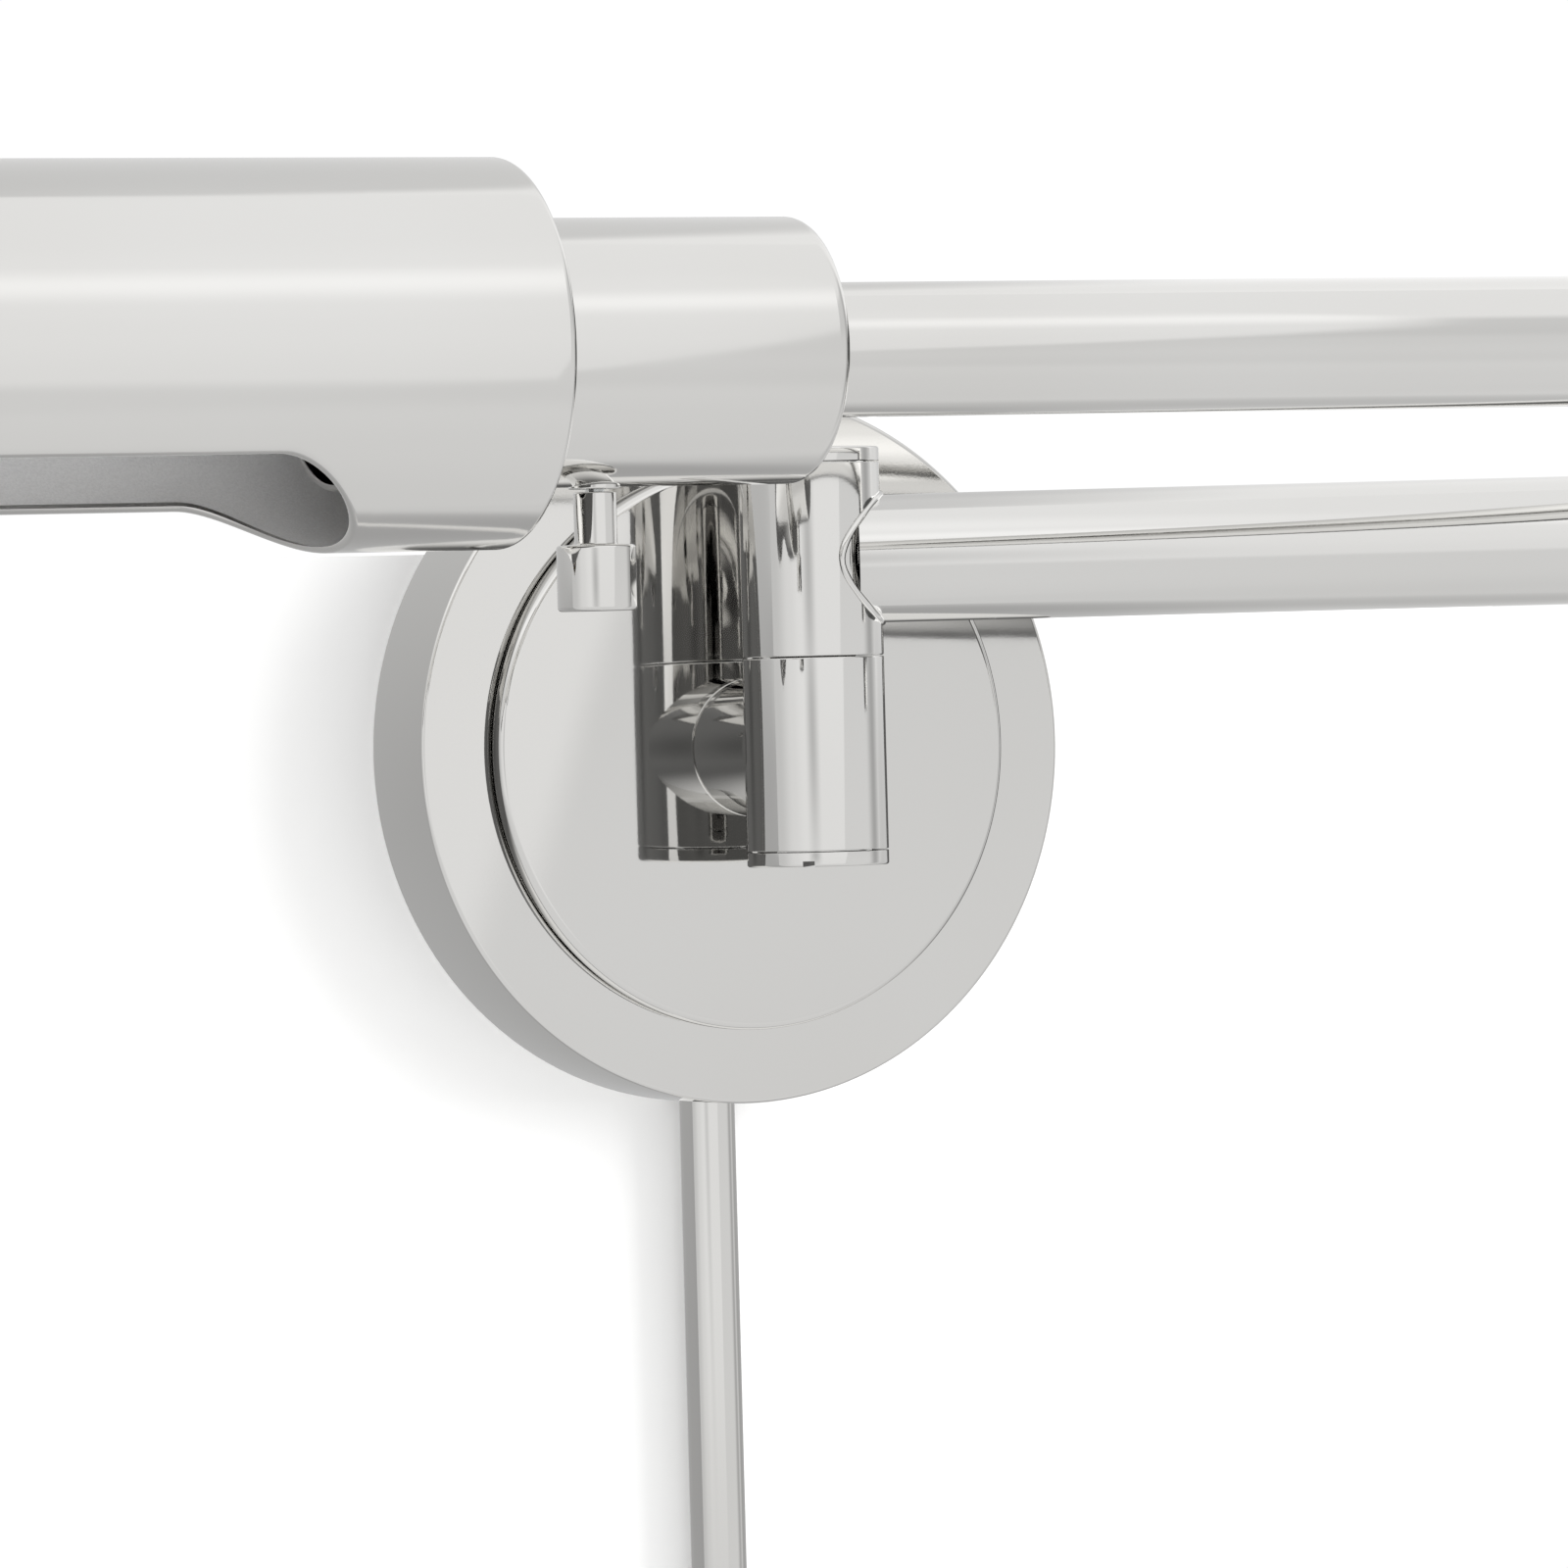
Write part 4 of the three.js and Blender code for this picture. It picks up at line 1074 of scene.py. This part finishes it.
def dress_cad_nodes():
    """Gives each CAD node its slot's look and eases its edges."""
    slots = {part["node"]: part["material_slot"] for part in frame["record"]["subparts"]}
    for name, node in frame["nodes"].items():
        node.data.materials.clear()
        node.data.materials.append(SLOT_LOOKS[slots[name]])
        bevel = node.modifiers.new("eased edges", "BEVEL")
        bevel.width = 0.25 * MM
        bevel.segments = 2
        bevel.limit_method = "ANGLE"
        bevel.angle_limit = math.radians(40)
        bevel.use_clamp_overlap = True


# ---------------------------------------------------------------- studio

ROOM_RADIUS = 1.2
FLOOR_DROP = 0.25
FLOOR_REACH = 3.0
WALL_TOP = 0.036
WALL_BOTTOM = -0.60
WALL_REACH = 0.17
MIRRORED_WALL_REACH = 0.7
WORLD_STRENGTH = 1.02


def diffuse_light(name, width, height, place, aim, power):
    """A large soft light that no polished surface mirrors."""
    light = bpy.data.lights.new(name, "AREA")
    light.shape = "RECTANGLE"
    light.size = width
    light.size_y = height
    light.energy = power
    lamp = bpy.data.objects.new(name, light)
    bpy.context.scene.collection.objects.link(lamp)
    lamp.location = place
    lamp.rotation_mode = "QUATERNION"
    lamp.rotation_quaternion = (Vector(aim) - Vector(place)).to_track_quat("-Z", "Y")
    lamp.visible_camera = False
    lamp.visible_glossy = False


def stage_piece(name, mesh, material, mirrored_only=False):
    """A piece of the studio; mirrored_only makes it show in polished surfaces and nowhere else."""
    mesh.materials.append(material)
    thing = bpy.data.objects.new(name, mesh)
    bpy.context.scene.collection.objects.link(thing)
    thing.visible_glossy = mirrored_only
    if mirrored_only:
        thing.visible_camera = False
        thing.visible_diffuse = False
        thing.visible_shadow = False
        thing.visible_transmission = False


def level_board(name, reach, height):
    mesh = bpy.data.meshes.new(name)
    mesh.from_pydata([(-reach, -reach, height), (reach, -reach, height),
                      (reach, reach, height), (-reach, reach, height)], [], [(0, 1, 2, 3)])
    return mesh


def upright_board(name, reach, low, high, depth):
    mesh = bpy.data.meshes.new(name)
    mesh.from_pydata([(-reach, depth, low), (reach, depth, low),
                      (reach, depth, high), (-reach, depth, high)], [], [(0, 1, 2, 3)])
    return mesh


def ball(name, radius):
    shape = bmesh.new()
    bmesh.ops.create_uvsphere(shape, u_segments=96, v_segments=48, radius=radius)
    mesh = bpy.data.meshes.new(name)
    shape.to_mesh(mesh)
    shape.free()
    return mesh


def paint(name, colour):
    """A plain matte paint seen from the room only: from behind it lets everything through."""
    n = Nodes(name)
    n.shader.inputs["Base Color"].default_value = (*colour, 1)
    n.shader.inputs["Roughness"].default_value = 0.9
    n.shader.inputs["Specular IOR Level"].default_value = 0.0
    through = n.add("ShaderNodeBsdfTransparent").outputs[0]
    mix = n.add("ShaderNodeMixShader")
    n.link(n.add("ShaderNodeNewGeometry").outputs["Backfacing"], mix.inputs["Fac"])
    n.link(n.shader.outputs[0], mix.inputs[1])
    n.link(through, mix.inputs[2])
    n.link(mix.outputs[0], n.tree.nodes["Material Output"].inputs["Surface"])
    return n.material


class Glow(Nodes):
    """A light-giving surface whose strength is worked out from its place.

    The stops of its ramps are (degrees or metres, strength).
    """

    def maths(self, operation, first, second=0.0, third=0.0):
        node = self.add("ShaderNodeMath", operation=operation)
        for target, value in zip(node.inputs, (first, second, third)):
            if isinstance(value, (int, float)):
                target.default_value = value
            else:
                self.link(value, target)
        return node.outputs[0]

    def ramp(self, value, start, end, *stops):
        """Strength along a value from start to end: each stop is (value, strength)."""
        fraction = self.maths("DIVIDE", self.maths("SUBTRACT", value, start), end - start)
        node = self.add("ShaderNodeValToRGB")
        ramp = node.color_ramp
        ramp.interpolation = "EASE"
        while len(ramp.elements) < len(stops):
            ramp.elements.new(0.5)
        for element, (position, strength) in zip(ramp.elements, stops):
            element.position = (position - start) / (end - start)
            element.color = (strength, strength, strength, 1)
        self.link(fraction, node.inputs["Fac"])
        return node.outputs["Color"]

    def step(self, value, low, high):
        node = self.add("ShaderNodeMapRange", interpolation_type="SMOOTHSTEP")
        node.inputs["From Min"].default_value = low
        node.inputs["From Max"].default_value = high
        self.link(value, node.inputs["Value"])
        return node.outputs["Result"]

    def bump_at(self, value, centre, width):
        """1 at the centre, 0 beyond the width, smooth between."""
        away = self.maths("ABSOLUTE", self.maths("SUBTRACT", value, centre))
        return self.maths("SUBTRACT", 1.0, self.step(away, 0.0, width))

    def mirrored_again(self, strength, change):
        """Changes the strength where the light reaches the view by more than one surface.

        The depth is 1 by one surface and 2 by two.
        """
        depth = self.add("ShaderNodeLightPath").outputs["Ray Depth"]
        again = self.step(depth, 1.2, 1.8)
        change = self.maths("MULTIPLY", again, self.maths("SUBTRACT", 1.0, change))
        return self.maths("MULTIPLY", strength, self.maths("SUBTRACT", 1.0, change))

    def give(self, strength):
        glow = self.add("ShaderNodeEmission")
        self.link(strength, glow.inputs["Strength"])
        self.link(glow.outputs[0], self.tree.nodes["Material Output"].inputs["Surface"])
        return self.material


def room_glow():
    """The room as the metal mirrors it: light on one side, grey on the other, and dark edges."""
    n = Glow("room_glow")
    split = n.add("ShaderNodeSeparateXYZ")
    n.link(n.place, split.inputs[0])
    x, y, z = split.outputs
    level = n.maths("SQRT", n.maths("ADD", n.maths("MULTIPLY", x, x), n.maths("MULTIPLY", y, y)))
    degrees = 180 / math.pi
    height = n.maths("MULTIPLY", n.maths("ARCTAN2", z, level), degrees)
    bearing = n.maths("MULTIPLY", n.maths("ARCTAN2", x, n.maths("MULTIPLY", y, -1.0)), degrees)
    light_side = n.ramp(
        height, -90, 90, (-90, 0.86), (-40, 0.90), (-16, 0.90), (-9, 1.04), (14, 1.08),
        (26, 1.10), (37, 1.30), (47, 1.12), (60, 1.10), (90, 1.10),
    )
    grey_side = n.ramp(
        height, -90, 90, (-90, 0.84), (-45, 0.90), (-28, 0.92), (-18, 0.88), (-6, 0.90),
        (6, 0.88), (16, 0.82), (30, 0.84), (38, 1.10), (60, 1.10),
    )
    edge_slope, edge_height = 2.6, -50.6
    edge_line = n.maths("MULTIPLY_ADD", bearing, edge_slope, edge_height)
    edge = n.maths("SUBTRACT", height, edge_line)
    front = n.add("ShaderNodeMix")
    n.link(n.step(edge, -2.5, 2.5), front.inputs["Factor"])
    n.link(grey_side, front.inputs["A"])
    n.link(light_side, front.inputs["B"])
    strength = front.outputs["Result"]
    lens = n.maths("MULTIPLY", n.bump_at(bearing, -30.0, 13.0), n.bump_at(height, 2.0, 17.0))
    strength = n.maths("MULTIPLY", strength, n.maths("MULTIPLY_ADD", lens, -0.36, 1.0))
    overhead = n.maths("MULTIPLY", n.bump_at(bearing, -27.0, 24.0), n.bump_at(height, 57.0, 20.0))
    strength = n.maths("MULTIPLY_ADD", overhead, 0.14, strength)
    left = n.ramp(bearing, -180, 180, (-180, 0.75), (-107, 0.66), (-86, 0.72), (-62, 0.92),
                  (-45, 1.0), (180, 1.0))
    near_level = n.bump_at(height, 0.0, 40.0)
    darker_left = n.maths("MULTIPLY", n.maths("SUBTRACT", 1.0, left), near_level)
    strength = n.maths("MULTIPLY", strength, n.maths("SUBTRACT", 1.0, darker_left))
    strip = n.maths("MULTIPLY", n.bump_at(bearing, 77.0, 17.0), n.bump_at(height, 0.0, 60.0))
    strength = n.maths("MULTIPLY", strength, n.maths("MULTIPLY_ADD", strip, -0.42, 1.0))
    line = n.maths("MULTIPLY", n.bump_at(bearing, -109.0, 4.0), n.bump_at(height, 0.0, 60.0))
    strength = n.maths("MULTIPLY", strength, n.maths("MULTIPLY_ADD", line, -0.5, 1.0))
    change = n.ramp(height, -90, 90, (-90, 1.7), (-38, 1.5), (-16, 0.20), (18, 0.20), (50, 0.9),
                    (90, 0.95))
    return n.give(n.mirrored_again(strength, change))


def wall_glow():
    """The wall as the metal mirrors it: bright above, darker below and to the left."""
    n = Glow("wall_glow")
    split = n.add("ShaderNodeSeparateXYZ")
    n.link(n.place, split.inputs[0])
    x, _, z = split.outputs
    upright = n.ramp(z, -0.5, 0.5, (-0.5, 0.62), (-0.12, 0.50), (-0.02, 0.55), (0.06, 0.70),
                     (0.16, 0.84), (0.5, 0.84))
    sideways = n.ramp(x, -0.5, 0.5, (-0.5, 1.0), (-0.10, 0.95), (0.05, 1.0), (0.14, 1.35),
                      (0.5, 1.45))
    change = n.ramp(z, -0.5, 0.5, (-0.5, 2.2), (0.06, 2.2), (0.16, 1.5), (0.5, 1.2))
    strength = n.maths("MULTIPLY", upright, sideways)
    return n.give(n.mirrored_again(strength, change))


def build_world():
    world = bpy.data.worlds.new("studio")
    bpy.context.scene.world = world
    world.use_nodes = True
    background = world.node_tree.nodes["Background"]
    background.inputs["Color"].default_value = (1.0, 1.0, 1.0, 1)
    background.inputs["Strength"].default_value = WORLD_STRENGTH


def build_studio():
    scene = bpy.context.scene
    scene.view_settings.view_transform = "Standard"
    scene.view_settings.look = "None"
    build_world()
    floor_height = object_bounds()[0].z - FLOOR_DROP
    floor_paint = paint("floor_paint", (0.80, 0.80, 0.79))
    wall_paint = paint("wall_paint", (0.86, 0.86, 0.86))
    stage_piece("floor", level_board("floor", FLOOR_REACH, floor_height), floor_paint)
    wall = upright_board("wall", WALL_REACH, WALL_BOTTOM, WALL_TOP, 0.5 * MM)
    stage_piece("wall", wall, wall_paint)
    mirrored = upright_board(
        "wall_mirrored", MIRRORED_WALL_REACH, -MIRRORED_WALL_REACH, MIRRORED_WALL_REACH, 0.7 * MM,
    )
    stage_piece("wall_mirrored", mirrored, wall_glow(), True)
    stage_piece("room_mirrored", ball("room_mirrored", ROOM_RADIUS), room_glow(), True)
    diffuse_light("key", width=1.3, height=1.3, place=(1.5, -0.9, 0.45), aim=(0, 0, -0.05), power=31)
    diffuse_light("from_below", width=0.7, height=0.5, place=(-0.35, -0.75, -0.50),
                  aim=(-0.2, -0.13, 0.06), power=1.9)


make_camera()
dress_cad_nodes()
build_canopy()
build_knuckles()
build_arms()
build_housing()
build_switch()
build_shade()
build_cord_cover()
build_wiring()
build_studio()
